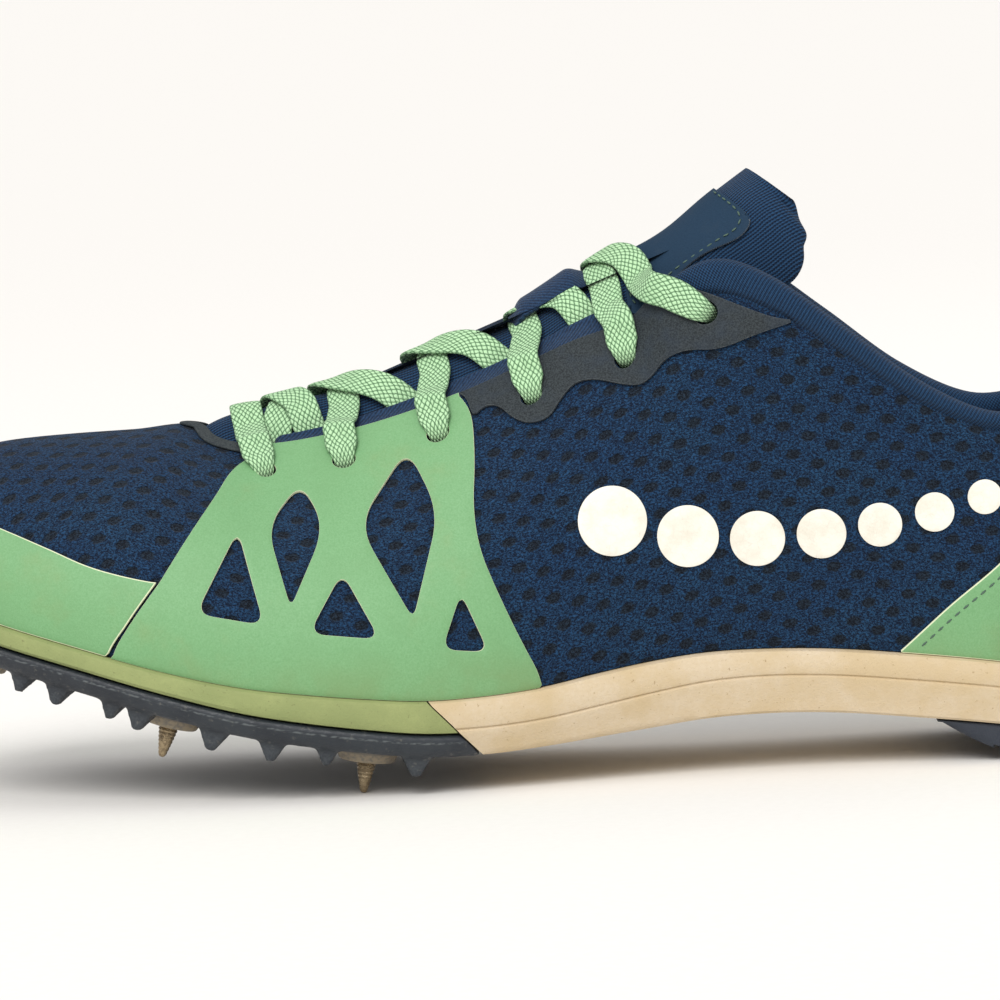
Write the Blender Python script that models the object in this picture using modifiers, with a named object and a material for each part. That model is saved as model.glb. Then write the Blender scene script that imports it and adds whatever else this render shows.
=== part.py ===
"""Track spike shoe for the left foot, standing empty on its rear pins and heel pad.

It is built from the pieces that a maker puts together: a toothed spike plate with seats and
pins, a thin front midsole, a thick rear midsole, a heel pad, an insole, a hollow upper with
glued overlays, a padded tongue and flat laces.

Axes: the toe points to -X, the inner side of the foot is +Y and up is +Z. The origin is on
the floor, in the middle of the heel pad's flat.
"""

import math

import bmesh
import bpy
import numpy as np
from mathutils import Matrix, Vector
from mathutils.bvhtree import BVHTree
from mathutils.geometry import delaunay_2d_cdt

# Driving sizes, in metres
LENGTH = 0.285
BALL_WIDTH = 0.090
UPPER_HEIGHT = 0.100
TOE_SPRING = 0.032
SOLE_THICKNESS = 0.0145
PLATE_THICKNESS = 0.0049
PIN_LENGTH = 0.0071
PIN_BASE_RADIUS = 0.00205
PIN_TIP_RADIUS = 0.0008
SEAT_RADIUS = 0.0066
SEAT_DEPTH = 0.0030
HEEL_PAD_THICKNESS = 0.0052
WALL = 0.0017
COLLAR_WALL = 0.0052
COLLAR_ROLL = 0.0012
LASTING_MARGIN = 0.006
MIDSOLE_LIP = 0.0020
INSOLE_THICKNESS = 0.0035
OVERLAY_THICKNESS = 0.0008
TONGUE_THICKNESS = 0.0038
TONGUE_TOP_THICKNESS = 0.0070
LACE_WIDTH = 0.0070
LACE_THICKNESS = 0.0012
EYELET_RADIUS = 0.0024
TOOTH_HEIGHT = 0.0042
TOOTH_WIDTH = 0.0085
GAP = 0.0003
CLEARANCE = 0.0005

# Places along the shoe, as shares of its length from the toe tip
HEEL_REST = 0.925
REAR_PIN = 0.386
PLATE_END = 0.515
JOINT_TOP = 0.433
JOINT_FOOT = 0.472
PAD_START = 0.815
PAD_END = 0.985

# The sole from the side. Each row: place along the length, rise of the underside above the
# straight line from rear pins to heel (share of toe spring), thickness (share of the sole's)
SOLE_SIDE = (
    (0.000, 0.990, 0.72),
    (0.060, 0.800, 0.69),
    (0.115, 0.628, 0.66),
    (0.170, 0.475, 0.66),
    (0.240, 0.281, 0.68),
    (0.300, 0.135, 0.73),
    (0.345, 0.058, 0.77),
    (0.386, 0.000, 0.80),
    (0.430, -0.048, 0.83),
    (0.475, -0.050, 0.86),
    (0.520, -0.015, 0.88),
    (0.560, 0.032, 0.94),
    (0.600, 0.083, 0.98),
    (0.640, 0.136, 0.98),
    (0.690, 0.170, 0.96),
    (0.740, 0.171, 0.95),
    (0.790, 0.142, 0.95),
    (0.840, 0.104, 0.94),
    (0.890, 0.052, 0.93),
    (0.930, 0.012, 0.97),
    (0.965, 0.018, 1.02),
    (1.000, 0.090, 1.02),
)

# One row for each rib of the last, toe to heel. Columns: foot of the rib along the length,
# its outer and inner half widths (shares of the ball width), top of the rib along the
# length, half of the opening there (share of the ball width), top height (share of the
# upper's height), outward lean at the foot and slope at the top in degrees, the lengths of
# the two handles (shares of the rib's chord), and how much of the collar's padding it has
RIBS = (
    (0.000, -0.055, 0.055, 0.1350, 0.000, 0.770, 9, 3, 0.30, 0.46, 0.0),
    (0.006, 0.045, 0.155, 0.1365, 0.000, 0.771, 9, 3, 0.30, 0.46, 0.0),
    (0.025, 0.155, 0.250, 0.1410, 0.000, 0.772, 9, 3, 0.31, 0.45, 0.0),
    (0.060, 0.250, 0.328, 0.1520, 0.000, 0.774, 9, 3, 0.33, 0.43, 0.0),
    (0.110, 0.333, 0.394, 0.1780, 0.000, 0.777, 9, 3, 0.36, 0.40, 0.0),
    (0.175, 0.411, 0.450, 0.2180, 0.000, 0.780, 9, 4, 0.38, 0.38, 0.0),
    (0.240, 0.465, 0.485, 0.2620, 0.000, 0.785, 9, 6, 0.39, 0.36, 0.0),
    (0.285, 0.489, 0.495, 0.2790, 0.110, 0.755, 8, 22, 0.40, 0.34, 0.0),
    (0.335, 0.500, 0.489, 0.3150, 0.152, 0.738, 7, 36, 0.40, 0.33, 0.0),
    (0.400, 0.494, 0.439, 0.3850, 0.158, 0.764, 6, 44, 0.40, 0.33, 0.0),
    (0.470, 0.456, 0.372, 0.4650, 0.164, 0.830, 6, 50, 0.40, 0.32, 0.0),
    (0.550, 0.394, 0.311, 0.5550, 0.178, 0.935, 6, 56, 0.38, 0.32, 0.0),
    (0.600, 0.361, 0.294, 0.6020, 0.196, 0.985, 7, 62, 0.36, 0.32, 0.1),
    (0.640, 0.344, 0.289, 0.6280, 0.232, 1.065, 8, 70, 0.34, 0.32, 0.6),
    (0.680, 0.336, 0.296, 0.6600, 0.276, 1.108, 8, 77, 0.33, 0.32, 1.0),
    (0.730, 0.333, 0.306, 0.7050, 0.318, 1.065, 8, 82, 0.33, 0.32, 1.0),
    (0.775, 0.337, 0.322, 0.7550, 0.341, 0.958, 8, 84, 0.34, 0.33, 1.0),
    (0.820, 0.344, 0.339, 0.8110, 0.350, 0.833, 9, 84, 0.35, 0.34, 1.0),
    (0.865, 0.346, 0.345, 0.8660, 0.340, 0.758, 10, 82, 0.36, 0.34, 1.0),
    (0.910, 0.323, 0.325, 0.9140, 0.302, 0.772, 10, 80, 0.36, 0.34, 1.0),
    (0.948, 0.275, 0.280, 0.9510, 0.238, 0.797, 10, 79, 0.36, 0.34, 1.0),
    (0.983, 0.178, 0.183, 0.9770, 0.134, 0.818, 10, 78, 0.36, 0.33, 1.0),
    (1.000, 0.000, 0.000, 0.9860, 0.000, 0.826, 10, 78, 0.36, 0.33, 1.0),
)
TOE_SWING = 0.055
SWING_END = 0.60
TIP_ROW = 0
THROAT_ROW = 6
TOP_EYELET_ROW = 12
HEEL_ROW = len(RIBS) - 1
ROUND_COUNT = 2 * HEEL_ROW

COLOURS = {
    "mesh_navy": (0.030, 0.085, 0.220, 0.85, 0.0),
    "synthetic_green": (0.280, 0.620, 0.330, 0.55, 0.0),
    "synthetic_grey": (0.075, 0.095, 0.125, 0.60, 0.0),
    "foam_olive": (0.330, 0.480, 0.200, 0.75, 0.0),
    "foam_cream": (0.800, 0.660, 0.450, 0.75, 0.0),
    "plate_navy": (0.055, 0.085, 0.140, 0.40, 0.0),
    "rubber_navy": (0.040, 0.050, 0.075, 0.80, 0.0),
    "insole_navy": (0.030, 0.060, 0.130, 0.90, 0.0),
    "knit_navy": (0.025, 0.075, 0.200, 0.90, 0.0),
    "lace_green": (0.300, 0.680, 0.400, 0.80, 0.0),
    "seat_nylon": (0.200, 0.180, 0.150, 0.45, 0.0),
    "pin_steel": (0.600, 0.520, 0.380, 0.35, 1.0),
}


def clear_scene():
    for obj in list(bpy.data.objects):
        bpy.data.objects.remove(obj, do_unlink=True)


def collection(name):
    made = bpy.data.collections.new(name)
    bpy.context.scene.collection.children.link(made)
    return made


def material(name):
    found = bpy.data.materials.get(name)
    if found:
        return found
    red, green, blue, roughness, metallic = COLOURS[name]
    made = bpy.data.materials.new(name)
    made.use_nodes = True
    shader = made.node_tree.nodes["Principled BSDF"]
    shader.inputs["Base Color"].default_value = (red, green, blue, 1.0)
    shader.inputs["Roughness"].default_value = roughness
    shader.inputs["Metallic"].default_value = metallic
    return made


# Curves through the tables

def hermite(knots, values, at):
    """A smooth curve through a table's rows, with slopes from each row's two neighbours."""
    knots = np.asarray(knots, float)
    values = np.asarray(values, float)
    at = np.clip(np.asarray(at, float), knots[0], knots[-1])
    slopes = np.gradient(values, knots, axis=0)
    low = np.clip(np.searchsorted(knots, at, side="right") - 1, 0, len(knots) - 2)
    span = knots[low + 1] - knots[low]
    t = (at - knots[low]) / span
    shape = t.shape + (1,) * (values.ndim - 1)
    t = t.reshape(shape)
    span = span.reshape(shape)
    return (
        (2 * t**3 - 3 * t**2 + 1) * values[low]
        + (t**3 - 2 * t**2 + t) * span * slopes[low]
        + (3 * t**2 - 2 * t**3) * values[low + 1]
        + (t**3 - t**2) * span * slopes[low + 1]
    )


def smooth_step(t):
    t = np.clip(t, 0.0, 1.0)
    return t * t * (3 - 2 * t)


def world_x(share):
    """World X of a place given as a share of the length from the toe tip."""
    return (np.asarray(share) - HEEL_REST) * LENGTH


def share_of(x):
    return np.asarray(x) / LENGTH + HEEL_REST


def pin_slope():
    """Slope of the plate's underside at the rear pins, which tilts them."""
    step = 0.01
    rises = hermite(*sole_rise(), np.array([REAR_PIN - step, REAR_PIN + step]))
    return (rises[1] - rises[0]) * TOE_SPRING / (2 * step * LENGTH)


def sole_rise():
    return [row[0] for row in SOLE_SIDE], [row[1] for row in SOLE_SIDE]


def front_stand():
    """Height of the plate's underside above the floor at the rear pins."""
    tilt = math.atan(pin_slope())
    return (PIN_LENGTH + SEAT_DEPTH) * math.cos(tilt) + PIN_TIP_RADIUS * abs(math.sin(tilt))


def underside(x):
    """Underside of plate and rear midsole, above the floor."""
    share = share_of(x)
    towards_heel = smooth_step((share - REAR_PIN) / (HEEL_REST - REAR_PIN))
    base = front_stand() + (HEEL_PAD_THICKNESS + GAP - front_stand()) * towards_heel
    return base + TOE_SPRING * hermite(*sole_rise(), share)


def feather(x):
    """Top edge of the midsole, where the upper starts."""
    places = [row[0] for row in SOLE_SIDE]
    shares = [row[2] for row in SOLE_SIDE]
    return underside(x) + SOLE_THICKNESS * hermite(places, shares, share_of(x))


def centre_y(x):
    """The last's centre line swings inwards towards the toe."""
    bend = np.clip(1 - share_of(x) / SWING_END, 0.0, 1.0)
    return TOE_SWING * BALL_WIDTH * bend**2


# The last: ribs round the foot, from the toe tip by the outer side to the heel and back

def rib_table():
    """Rows for one full turn round the last, as foot, top, lean, slope, handles, padding."""
    rows = np.array(RIBS, float)
    turn = []
    for index in range(ROUND_COUNT + 1):
        outer = index <= HEEL_ROW
        row = rows[index if outer else ROUND_COUNT - index]
        side = -1.0 if outer else 1.0
        foot_x = world_x(row[0])
        foot_y = side * row[1 if outer else 2] * BALL_WIDTH
        gap = side * row[4] * BALL_WIDTH
        turn.append([foot_x, foot_y, world_x(row[3]), gap, row[5] * UPPER_HEIGHT, *row[6:]])
    return np.array(turn)


RIB_TABLE = rib_table()
RIB_KNOTS = np.concatenate(
    [[0.0], np.cumsum(np.linalg.norm(np.diff(RIB_TABLE[:, :2], axis=0), axis=1))]
)
WRAP = 3


def ribs_at(turn):
    """The rib rows at any places of the turn, counted in rows."""
    turn = np.asarray(turn, float) % ROUND_COUNT
    total = RIB_KNOTS[-1]
    knots = np.concatenate([RIB_KNOTS[-1 - WRAP:-1] - total, RIB_KNOTS, RIB_KNOTS[1:1 + WRAP] + total])
    values = np.concatenate([RIB_TABLE[-1 - WRAP:-1], RIB_TABLE, RIB_TABLE[1:1 + WRAP]])
    at = np.interp(turn, np.arange(ROUND_COUNT + 1), RIB_KNOTS)
    rows = hermite(knots, values, at)
    gap = np.where(turn <= HEEL_ROW, np.minimum(rows[:, 3], 0.0), np.maximum(rows[:, 3], 0.0))
    closed = (turn <= THROAT_ROW) | (turn >= ROUND_COUNT - THROAT_ROW) | (turn == HEEL_ROW)
    rows[:, 3] = centre_y(rows[:, 2]) + np.where(closed, 0.0, gap)
    return rows


def outline_normal(turn):
    """Outward direction of the sole's outline, flat on the floor."""
    step = 0.05
    along = ribs_at(np.asarray(turn) + step)[:, :2] - ribs_at(np.asarray(turn) - step)[:, :2]
    along /= np.linalg.norm(along, axis=1)[:, None]
    return np.stack([along[:, 1], -along[:, 0]], axis=1)


def skin(turn, up):
    """Points of the last's outer surface: turn counts ribs, up goes 0 to 1 along a rib."""
    turn = np.atleast_1d(np.asarray(turn, float))
    up = np.broadcast_to(np.asarray(up, float), turn.shape)[:, None]
    rows = ribs_at(turn)
    out = outline_normal(turn)
    foot = np.column_stack([rows[:, 0], rows[:, 1], feather(rows[:, 0]) + GAP])
    top = rows[:, 2:5]
    chord = np.linalg.norm(top - foot, axis=1)
    lean = np.radians(rows[:, 5])
    slope = np.radians(rows[:, 6])
    first = foot + (rows[:, 7] * chord)[:, None] * np.column_stack(
        [out * np.sin(lean)[:, None], np.cos(lean)]
    )
    second = top + (rows[:, 8] * chord)[:, None] * np.column_stack(
        [out * np.cos(slope)[:, None], -np.sin(slope)]
    )
    down = 1 - up
    return down**3 * foot + 3 * down**2 * up * first + 3 * down * up**2 * second + up**3 * top


def skin_normal(turn, up):
    turn = np.atleast_1d(np.asarray(turn, float))
    up = np.clip(np.broadcast_to(np.asarray(up, float), turn.shape), 0.02, 0.985)
    step = 0.01
    round_way = skin(turn + step, up) - skin(turn - step, up)
    up_way = skin(turn, up + step) - skin(turn, up - step)
    normal = np.cross(up_way, round_way)
    normal /= np.linalg.norm(normal, axis=1)[:, None]
    middle = np.column_stack([skin(turn, 0.5)[:, 0], centre_y(skin(turn, 0.5)[:, 0])])
    outwards = np.sum((skin(turn, up)[:, :2] - middle) * normal[:, :2], axis=1) + normal[:, 2] * 0.01
    return normal * np.where(outwards < 0, -1.0, 1.0)[:, None]


# Mesh helpers

def add_mesh(name, points, faces, finish, into):
    mesh = bpy.data.meshes.new(name)
    mesh.from_pydata([tuple(map(float, p)) for p in points], [], [tuple(f) for f in faces])
    mesh.update()
    return add_object(name, mesh, finish, into)


def add_object(name, mesh, finish, into):
    obj = bpy.data.objects.new(name, mesh)
    into.objects.link(obj)
    if finish:
        mesh.materials.clear()
        mesh.materials.append(material(finish))
    return obj


def merge_and_face_out(obj, distance=1e-6):
    work = bmesh.new()
    work.from_mesh(obj.data)
    bmesh.ops.remove_doubles(work, verts=work.verts, dist=distance)
    bmesh.ops.recalc_face_normals(work, faces=work.faces)
    work.to_mesh(obj.data)
    work.free()


def shade(obj, angle=40):
    obj.data.shade_smooth()
    obj.data.set_sharp_from_angle(angle=math.radians(angle))


def as_mesh(obj):
    """Replaces an object's mesh with what its modifiers make of it."""
    graph = bpy.context.evaluated_depsgraph_get()
    made = bpy.data.meshes.new_from_object(obj.evaluated_get(graph))
    obj.modifiers.clear()
    obj.data = made
    return obj


def boolean(obj, other, operation, several=False):
    """Joins or cuts. Several is set where the other object's bodies may meet each other."""
    change = obj.modifiers.new(operation.lower(), "BOOLEAN")
    change.operation = operation
    change.object = other
    change.solver = "EXACT"
    change.use_self = several
    return as_mesh(obj)


def grid_faces(rows, columns, closed=False):
    across = columns if closed else columns - 1
    return [
        (r * columns + c, r * columns + (c + 1) % columns,
         (r + 1) * columns + (c + 1) % columns, (r + 1) * columns + c)
        for r in range(rows - 1)
        for c in range(across)
    ]


# Soles, as rings round the outline with ladder caps between the two sides

STATIONS_A_ROW = 2


def outline_turns(first=TIP_ROW, last=HEEL_ROW, a_row=STATIONS_A_ROW):
    """Matching stations of the outer and the inner side between two rows."""
    count = int(round((last - first) * a_row)) + 1
    outer = np.linspace(first, last, count)
    return outer, ROUND_COUNT - outer


def ring_point(turn, outset, height):
    rows = ribs_at(turn)
    spot = rows[:, :2] + outline_normal(turn) * np.asarray(outset).reshape(-1, 1)
    return np.column_stack([spot, height(rows[:, 0])])


def stacked_loft(name, rings, finish, into, first=TIP_ROW, last=HEEL_ROW, a_row=STATIONS_A_ROW):
    """A closed body from rings, top to bottom. Each ring is an outset and a height function."""
    outer, inner = outline_turns(first, last, a_row)
    sides = []
    for outset, height in rings:
        sides.append((ring_point(outer, outset(outer), height), ring_point(inner, outset(outer), height)))
    count = len(outer)
    points = np.concatenate([np.concatenate(pair) for pair in sides])
    faces = []
    for level in range(len(rings)):
        base = level * 2 * count
        if level in (0, len(rings) - 1):
            faces += [
                (base + i, base + i + 1, base + count + i + 1, base + count + i)
                for i in range(count - 1)
            ]
        if level + 1 == len(rings):
            break
        below = base + 2 * count
        for side in (0, count):
            faces += [
                (base + side + i, base + side + i + 1, below + side + i + 1, below + side + i)
                for i in range(count - 1)
            ]
        if first > TIP_ROW:
            faces.append((base, base + count, below + count, below))
        if last < HEEL_ROW:
            faces.append((base + count - 1, base + 2 * count - 1, below + 2 * count - 1, below + count - 1))
    obj = add_mesh(name, points, faces, finish, into)
    merge_and_face_out(obj)
    return obj


def constant(value):
    return lambda turn: np.full(len(turn), float(value))


def crease_height(x):
    share = 0.50 + 0.11 * smooth_step((share_of(x) - 0.50) / 0.20)
    return underside(x) + (feather(x) - underside(x)) * share


def plate_top(x):
    return underside(x) + PLATE_THICKNESS


def joint_plane():
    """The slanted joint between front and rear midsole: a point on it and its normal."""
    top = Vector((world_x(JOINT_TOP), 0.0, float(feather(world_x(JOINT_TOP)))))
    foot = Vector((world_x(JOINT_FOOT), 0.0, float(underside(world_x(JOINT_FOOT)))))
    along = (foot - top).normalized()
    return top, Vector((-along.z, 0.0, along.x))


def cut_by_plane(obj, point, normal):
    """Keeps what lies on the side that the normal points to, and closes the cut."""
    work = bmesh.new()
    work.from_mesh(obj.data)
    cut = bmesh.ops.bisect_plane(
        work, geom=work.verts[:] + work.edges[:] + work.faces[:],
        plane_co=point, plane_no=normal, clear_inner=True, dist=1e-7,
    )
    edges = [e for e in cut["geom_cut"] if isinstance(e, bmesh.types.BMEdge)]
    bmesh.ops.holes_fill(work, edges=edges, sides=0)
    bmesh.ops.triangulate(work, faces=[f for f in work.faces if len(f.verts) > 4])
    bmesh.ops.recalc_face_normals(work, faces=work.faces)
    work.to_mesh(obj.data)
    work.free()


def midsole_rings(bottom, tuck):
    return [
        (constant(MIDSOLE_LIP), feather),
        (constant(MIDSOLE_LIP + 0.0004), crease_height),
        (constant(MIDSOLE_LIP - tuck), bottom),
    ]


def build_midsoles(into):
    point, normal = joint_plane()
    front = stacked_loft(
        "midsole_front", midsole_rings(lambda x: plate_top(x) + GAP, 0.0004), "foam_olive", into
    )
    cut_by_plane(front, point - normal * (GAP / 2), -normal)
    rear = stacked_loft("midsole_rear", midsole_rings(underside, 0.0022), "foam_cream", into)
    cut_by_plane(rear, point + normal * (GAP / 2), normal)
    shade(front, 30)
    shade(rear, 12)


# Teeth on the plate's rim: place along the length and size against the full tooth
OUTER_TEETH = (
    (0.060, 0.75), (0.095, 0.80), (0.127, 0.85), (0.155, 0.95), (0.196, 0.85), (0.217, 1.00),
    (0.272, 1.05), (0.316, 1.00), (0.357, 0.85), (0.424, 1.05),
)
INNER_TEETH = (
    (0.060, 0.75), (0.095, 0.80), (0.127, 0.90), (0.157, 0.95), (0.190, 0.90), (0.270, 1.00),
    (0.312, 1.00), (0.352, 0.90), (0.424, 1.00),
)
# Lugs under the plate, away from its rim: place along the length and across the shoe
INNER_LUGS = (
    (0.085, 0.05), (0.150, -0.10), (0.150, 0.20), (0.215, 0.04), (0.285, -0.14),
    (0.285, 0.18), (0.345, 0.02), (0.420, -0.16), (0.420, 0.14),
)
# Six pins: place along the length and share of the half width
PINS = (
    (0.095, -0.50), (0.095, 0.62),
    (0.240, -0.66), (0.240, 0.70),
    (REAR_PIN, -0.70), (REAR_PIN, 0.68),
)


def outline_turn_at(share, side):
    """The turn at which the outline of one side reaches a place along the length."""
    low, high = 0.0, float(HEEL_ROW)
    for _ in range(30):
        middle = (low + high) / 2
        turn = middle if side < 0 else ROUND_COUNT - middle
        if share_of(ribs_at([turn])[0, 0]) < share:
            low = middle
        else:
            high = middle
    return low if side < 0 else ROUND_COUNT - low


def half_width(share, side):
    return abs(ribs_at([outline_turn_at(share, side)])[0, 1])


def sole_frame(share, y):
    """A frame on the plate's underside: X along the sole, Z out of it, downwards."""
    step = 0.01
    ahead = Vector((world_x(share - step), 0.0, float(underside(world_x(share - step)))))
    behind = Vector((world_x(share + step), 0.0, float(underside(world_x(share + step)))))
    along = (behind - ahead).normalized()
    down = Vector((along.z, 0.0, -along.x))
    across = down.cross(along)
    spot = Vector((world_x(share), y, float(underside(world_x(share)))))
    return Matrix.LocRotScale(spot, Matrix((along, across, down)).transposed(), None)


def add_cone(work, frame, segments, base, tip, height, turn=0.0):
    """A cone that stands on a frame's origin and points along its Z."""
    place = frame @ Matrix.Translation((0, 0, height / 2)) @ Matrix.Rotation(turn, 4, "Z")
    bmesh.ops.create_cone(
        work, cap_ends=True, segments=segments, radius1=base, radius2=tip, depth=height, matrix=place
    )


def rim_tooth(work, share, side, size):
    """A pyramid whose outer flank stands on the plate's rim."""
    turn = outline_turn_at(share, side)
    out = outline_normal([turn])[0]
    rows = ribs_at([turn])[0]
    width = TOOTH_WIDTH * size
    sunk = 0.0010
    inset = width * 0.5
    spot = rows[:2] - out * (inset + 0.0002)
    frame = sole_frame(share_of(spot[0]), spot[1])
    heading = math.atan2(out[1], out[0])
    frame = Matrix.Translation(frame.translation) @ frame.to_3x3().to_4x4() @ Matrix.Rotation(
        -heading, 4, "Z"
    )
    made = bmesh.ops.create_cone(
        work, cap_ends=True, segments=4, radius1=width * 0.62, radius2=width * 0.10,
        depth=TOOTH_HEIGHT * size + sunk,
        matrix=frame @ Matrix.Translation((0, 0, (TOOTH_HEIGHT * size - sunk) / 2))
        @ Matrix.Rotation(math.radians(45), 4, "Z"),
    )
    tip_height = TOOTH_HEIGHT * size * 0.5
    down = frame.to_3x3() @ Vector((0, 0, 1))
    for vert in made["verts"]:
        if (vert.co - frame.translation).dot(down) > tip_height:
            vert.co += Vector((out[0], out[1], 0.0)) * (width * 0.28)


def plate_teeth(into):
    work = bmesh.new()
    for share, size in OUTER_TEETH:
        rim_tooth(work, share, -1, size)
    for share, size in INNER_TEETH:
        rim_tooth(work, share, 1, size)
    for share, across in INNER_LUGS:
        frame = sole_frame(share, across * BALL_WIDTH) @ Matrix.Translation((0, 0, -0.0010))
        add_cone(work, frame, 6, 0.0042, 0.0016, 0.0034, math.radians(30))
    mesh = bpy.data.meshes.new("plate_teeth")
    work.to_mesh(mesh)
    work.free()
    return add_object("plate_teeth", mesh, None, into)


def plate_last_row():
    return outline_turn_at(PLATE_END, -1)


def build_plate(into, helpers):
    end = math.ceil(plate_last_row() * STATIONS_A_ROW) / STATIONS_A_ROW
    rings = [
        (constant(MIDSOLE_LIP - 0.0008), plate_top),
        (constant(MIDSOLE_LIP), lambda x: plate_top(x) - 0.0012),
        (constant(MIDSOLE_LIP - 0.0002), lambda x: plate_top(x) - 0.0018),
        (constant(0.0), underside),
    ]
    plate = stacked_loft("spike_plate", rings, "plate_navy", into, TIP_ROW, end)
    point, normal = joint_plane()
    cut_by_plane(plate, point - normal * (GAP / 2), -normal)
    teeth = plate_teeth(helpers)
    boolean(plate, teeth, "UNION", several=True)
    bpy.data.objects.remove(teeth, do_unlink=True)
    for index, (share, across) in enumerate(PINS):
        side = -1 if across < 0 else 1
        y = side * abs(across) * half_width(share, side)
        frame = sole_frame(share, y)
        seat = bmesh.new()
        seat_at = frame @ Matrix.Translation((0, 0, GAP))
        add_cone(seat, seat_at, 16, SEAT_RADIUS, SEAT_RADIUS * 0.86, SEAT_DEPTH - GAP)
        finish_round(f"spike_seat_{index + 1}", seat, "seat_nylon", into)
        pin = bmesh.new()
        pin_at = frame @ Matrix.Translation((0, 0, SEAT_DEPTH + GAP))
        add_cone(pin, pin_at, 10, PIN_BASE_RADIUS, PIN_TIP_RADIUS, PIN_LENGTH - GAP)
        finish_round(f"spike_pin_{index + 1}", pin, "pin_steel", into)
    return plate


def finish_round(name, work, finish, into):
    mesh = bpy.data.meshes.new(name)
    work.to_mesh(mesh)
    work.free()
    obj = add_object(name, mesh, finish, into)
    shade(obj)
    return obj


# The heel pad is flat where it rests, and its grooves run across

PAD_GROOVES = (0.862, 0.888, 0.956)
PAD_GROOVE_WIDTH = 0.0022
PAD_GROOVE_DEPTH = 0.0016


def pad_bottom(x):
    share = share_of(x)
    flat_start, flat_end = 0.900, 0.952
    top = underside(x) - GAP
    ahead = top * np.clip((flat_start - share) / (flat_start - PAD_START), 0, 1) ** 1.5
    behind = 0.0045 * np.clip((share - flat_end) / (PAD_END + 0.012 - flat_end), 0, 1) ** 2
    return np.minimum(ahead + behind, top - 0.0006)


def build_heel_pad(into, helpers):
    first = round(outline_turn_at(PAD_START, -1) * STATIONS_A_ROW) / STATIONS_A_ROW
    rings = [
        (constant(MIDSOLE_LIP - 0.0030), lambda x: underside(x) - GAP),
        (constant(MIDSOLE_LIP - 0.0045), pad_bottom),
    ]
    pad = stacked_loft("heel_pad", rings, "rubber_navy", into, first, HEEL_ROW)
    for number, share in enumerate(PAD_GROOVES):
        work = bmesh.new()
        depth = float(pad_bottom(world_x(share))) + PAD_GROOVE_DEPTH
        box = bmesh.ops.create_cube(work, size=1.0)
        bmesh.ops.scale(work, verts=box["verts"], vec=(PAD_GROOVE_WIDTH, BALL_WIDTH, 2 * depth))
        bmesh.ops.translate(work, verts=box["verts"], vec=(float(world_x(share)), 0, 0))
        mesh = bpy.data.meshes.new(f"groove_{number}")
        work.to_mesh(mesh)
        work.free()
        cutter = add_object(f"groove_{number}", mesh, None, helpers)
        boolean(pad, cutter, "DIFFERENCE")
        bpy.data.objects.remove(cutter, do_unlink=True)
    shade(pad, 25)


# The upper

ROLL_DEPTHS = (0.0068, 0.0050, 0.0020, 0.0)
ROLL_SHAPE = (0.0, 0.85, 1.0, 0.0)
LOWER_RINGS = 5


def rib_length(turn):
    line = skin(np.full(20, float(turn)), np.linspace(0, 1, 20))
    return float(np.linalg.norm(np.diff(line, axis=0), axis=1).sum())


def rib_ups(turn):
    """Rings of a rib, close together under its top edge, where the collar's roll is."""
    near_top = 1 - np.array(ROLL_DEPTHS) / rib_length(turn)
    lower = np.linspace(0.0, near_top[0], LOWER_RINGS + 1)[:-1]
    return np.concatenate([lower, near_top])


def wall_thickness(padding, up):
    """The wall is thin, and padded round the collar."""
    return WALL + (COLLAR_WALL - WALL) * padding * smooth_step((up - 0.45) / 0.40)


def skin_grid():
    """Rings of the outer surface with the collar's roll, and how thick the wall is there."""
    outer, inner = outline_turns()
    turns = np.concatenate([outer, inner[-2:0:-1]])
    rings = LOWER_RINGS + len(ROLL_DEPTHS)
    points = np.zeros((rings, len(turns), 3))
    walls = np.zeros((rings, len(turns)))
    for column, turn in enumerate(turns):
        ups = rib_ups(turn)
        along = np.full(len(ups), turn)
        padding = np.clip(ribs_at([turn])[0, -1], 0, 1)
        roll = np.zeros(len(ups))
        roll[-len(ROLL_SHAPE):] = np.array(ROLL_SHAPE) * COLLAR_ROLL * padding
        points[:, column] = skin(along, ups) + skin_normal(along, ups) * roll[:, None]
        walls[:, column] = wall_thickness(padding, ups)
    return turns, points, walls


def split_faces(obj):
    """Splits faces into triangles the same way on the upper and on the shell round it."""
    work = bmesh.new()
    work.from_mesh(obj.data)
    bmesh.ops.triangulate(work, faces=work.faces, quad_method="SHORT_EDGE")
    work.to_mesh(obj.data)
    work.free()


def build_upper(grid, into):
    turns, points, walls = grid
    margin = points[0].copy()
    margin[:, :2] -= outline_normal(turns) * LASTING_MARGIN
    points = np.concatenate([margin[None], points])
    weights = np.concatenate([walls[:1], walls]) / COLLAR_WALL
    rings = len(points)
    upper = add_mesh(
        "upper", points.reshape(-1, 3), grid_faces(rings, len(turns), closed=True), "mesh_navy", into
    )
    group = upper.vertex_groups.new(name="wall")
    for index, weight in enumerate(weights.ravel()):
        group.add([index], float(weight), "REPLACE")
    merge_and_face_out(upper, 2e-5)
    split_faces(upper)
    shell = upper.modifiers.new("wall", "SOLIDIFY")
    shell.thickness = COLLAR_WALL
    shell.offset = -1.0
    shell.vertex_group = group.name
    as_mesh(upper)
    return upper


def build_insole(into):
    over_margin = GAP + WALL + 2 * GAP
    rim = -(WALL + 3 * CLEARANCE)
    inside = -(LASTING_MARGIN + CLEARANCE)
    rings = [
        (constant(rim - 0.0008), lambda x: feather(x) + over_margin + INSOLE_THICKNESS),
        (constant(rim), lambda x: feather(x) + over_margin + INSOLE_THICKNESS * 0.6),
        (constant(rim), lambda x: feather(x) + over_margin),
        (constant(inside), lambda x: feather(x) + over_margin),
        (constant(inside), lambda x: feather(x) + GAP),
    ]
    insole = stacked_loft("insole", rings, "insole_navy", into, a_row=1)
    shade(insole, 30)
    return insole


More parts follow.
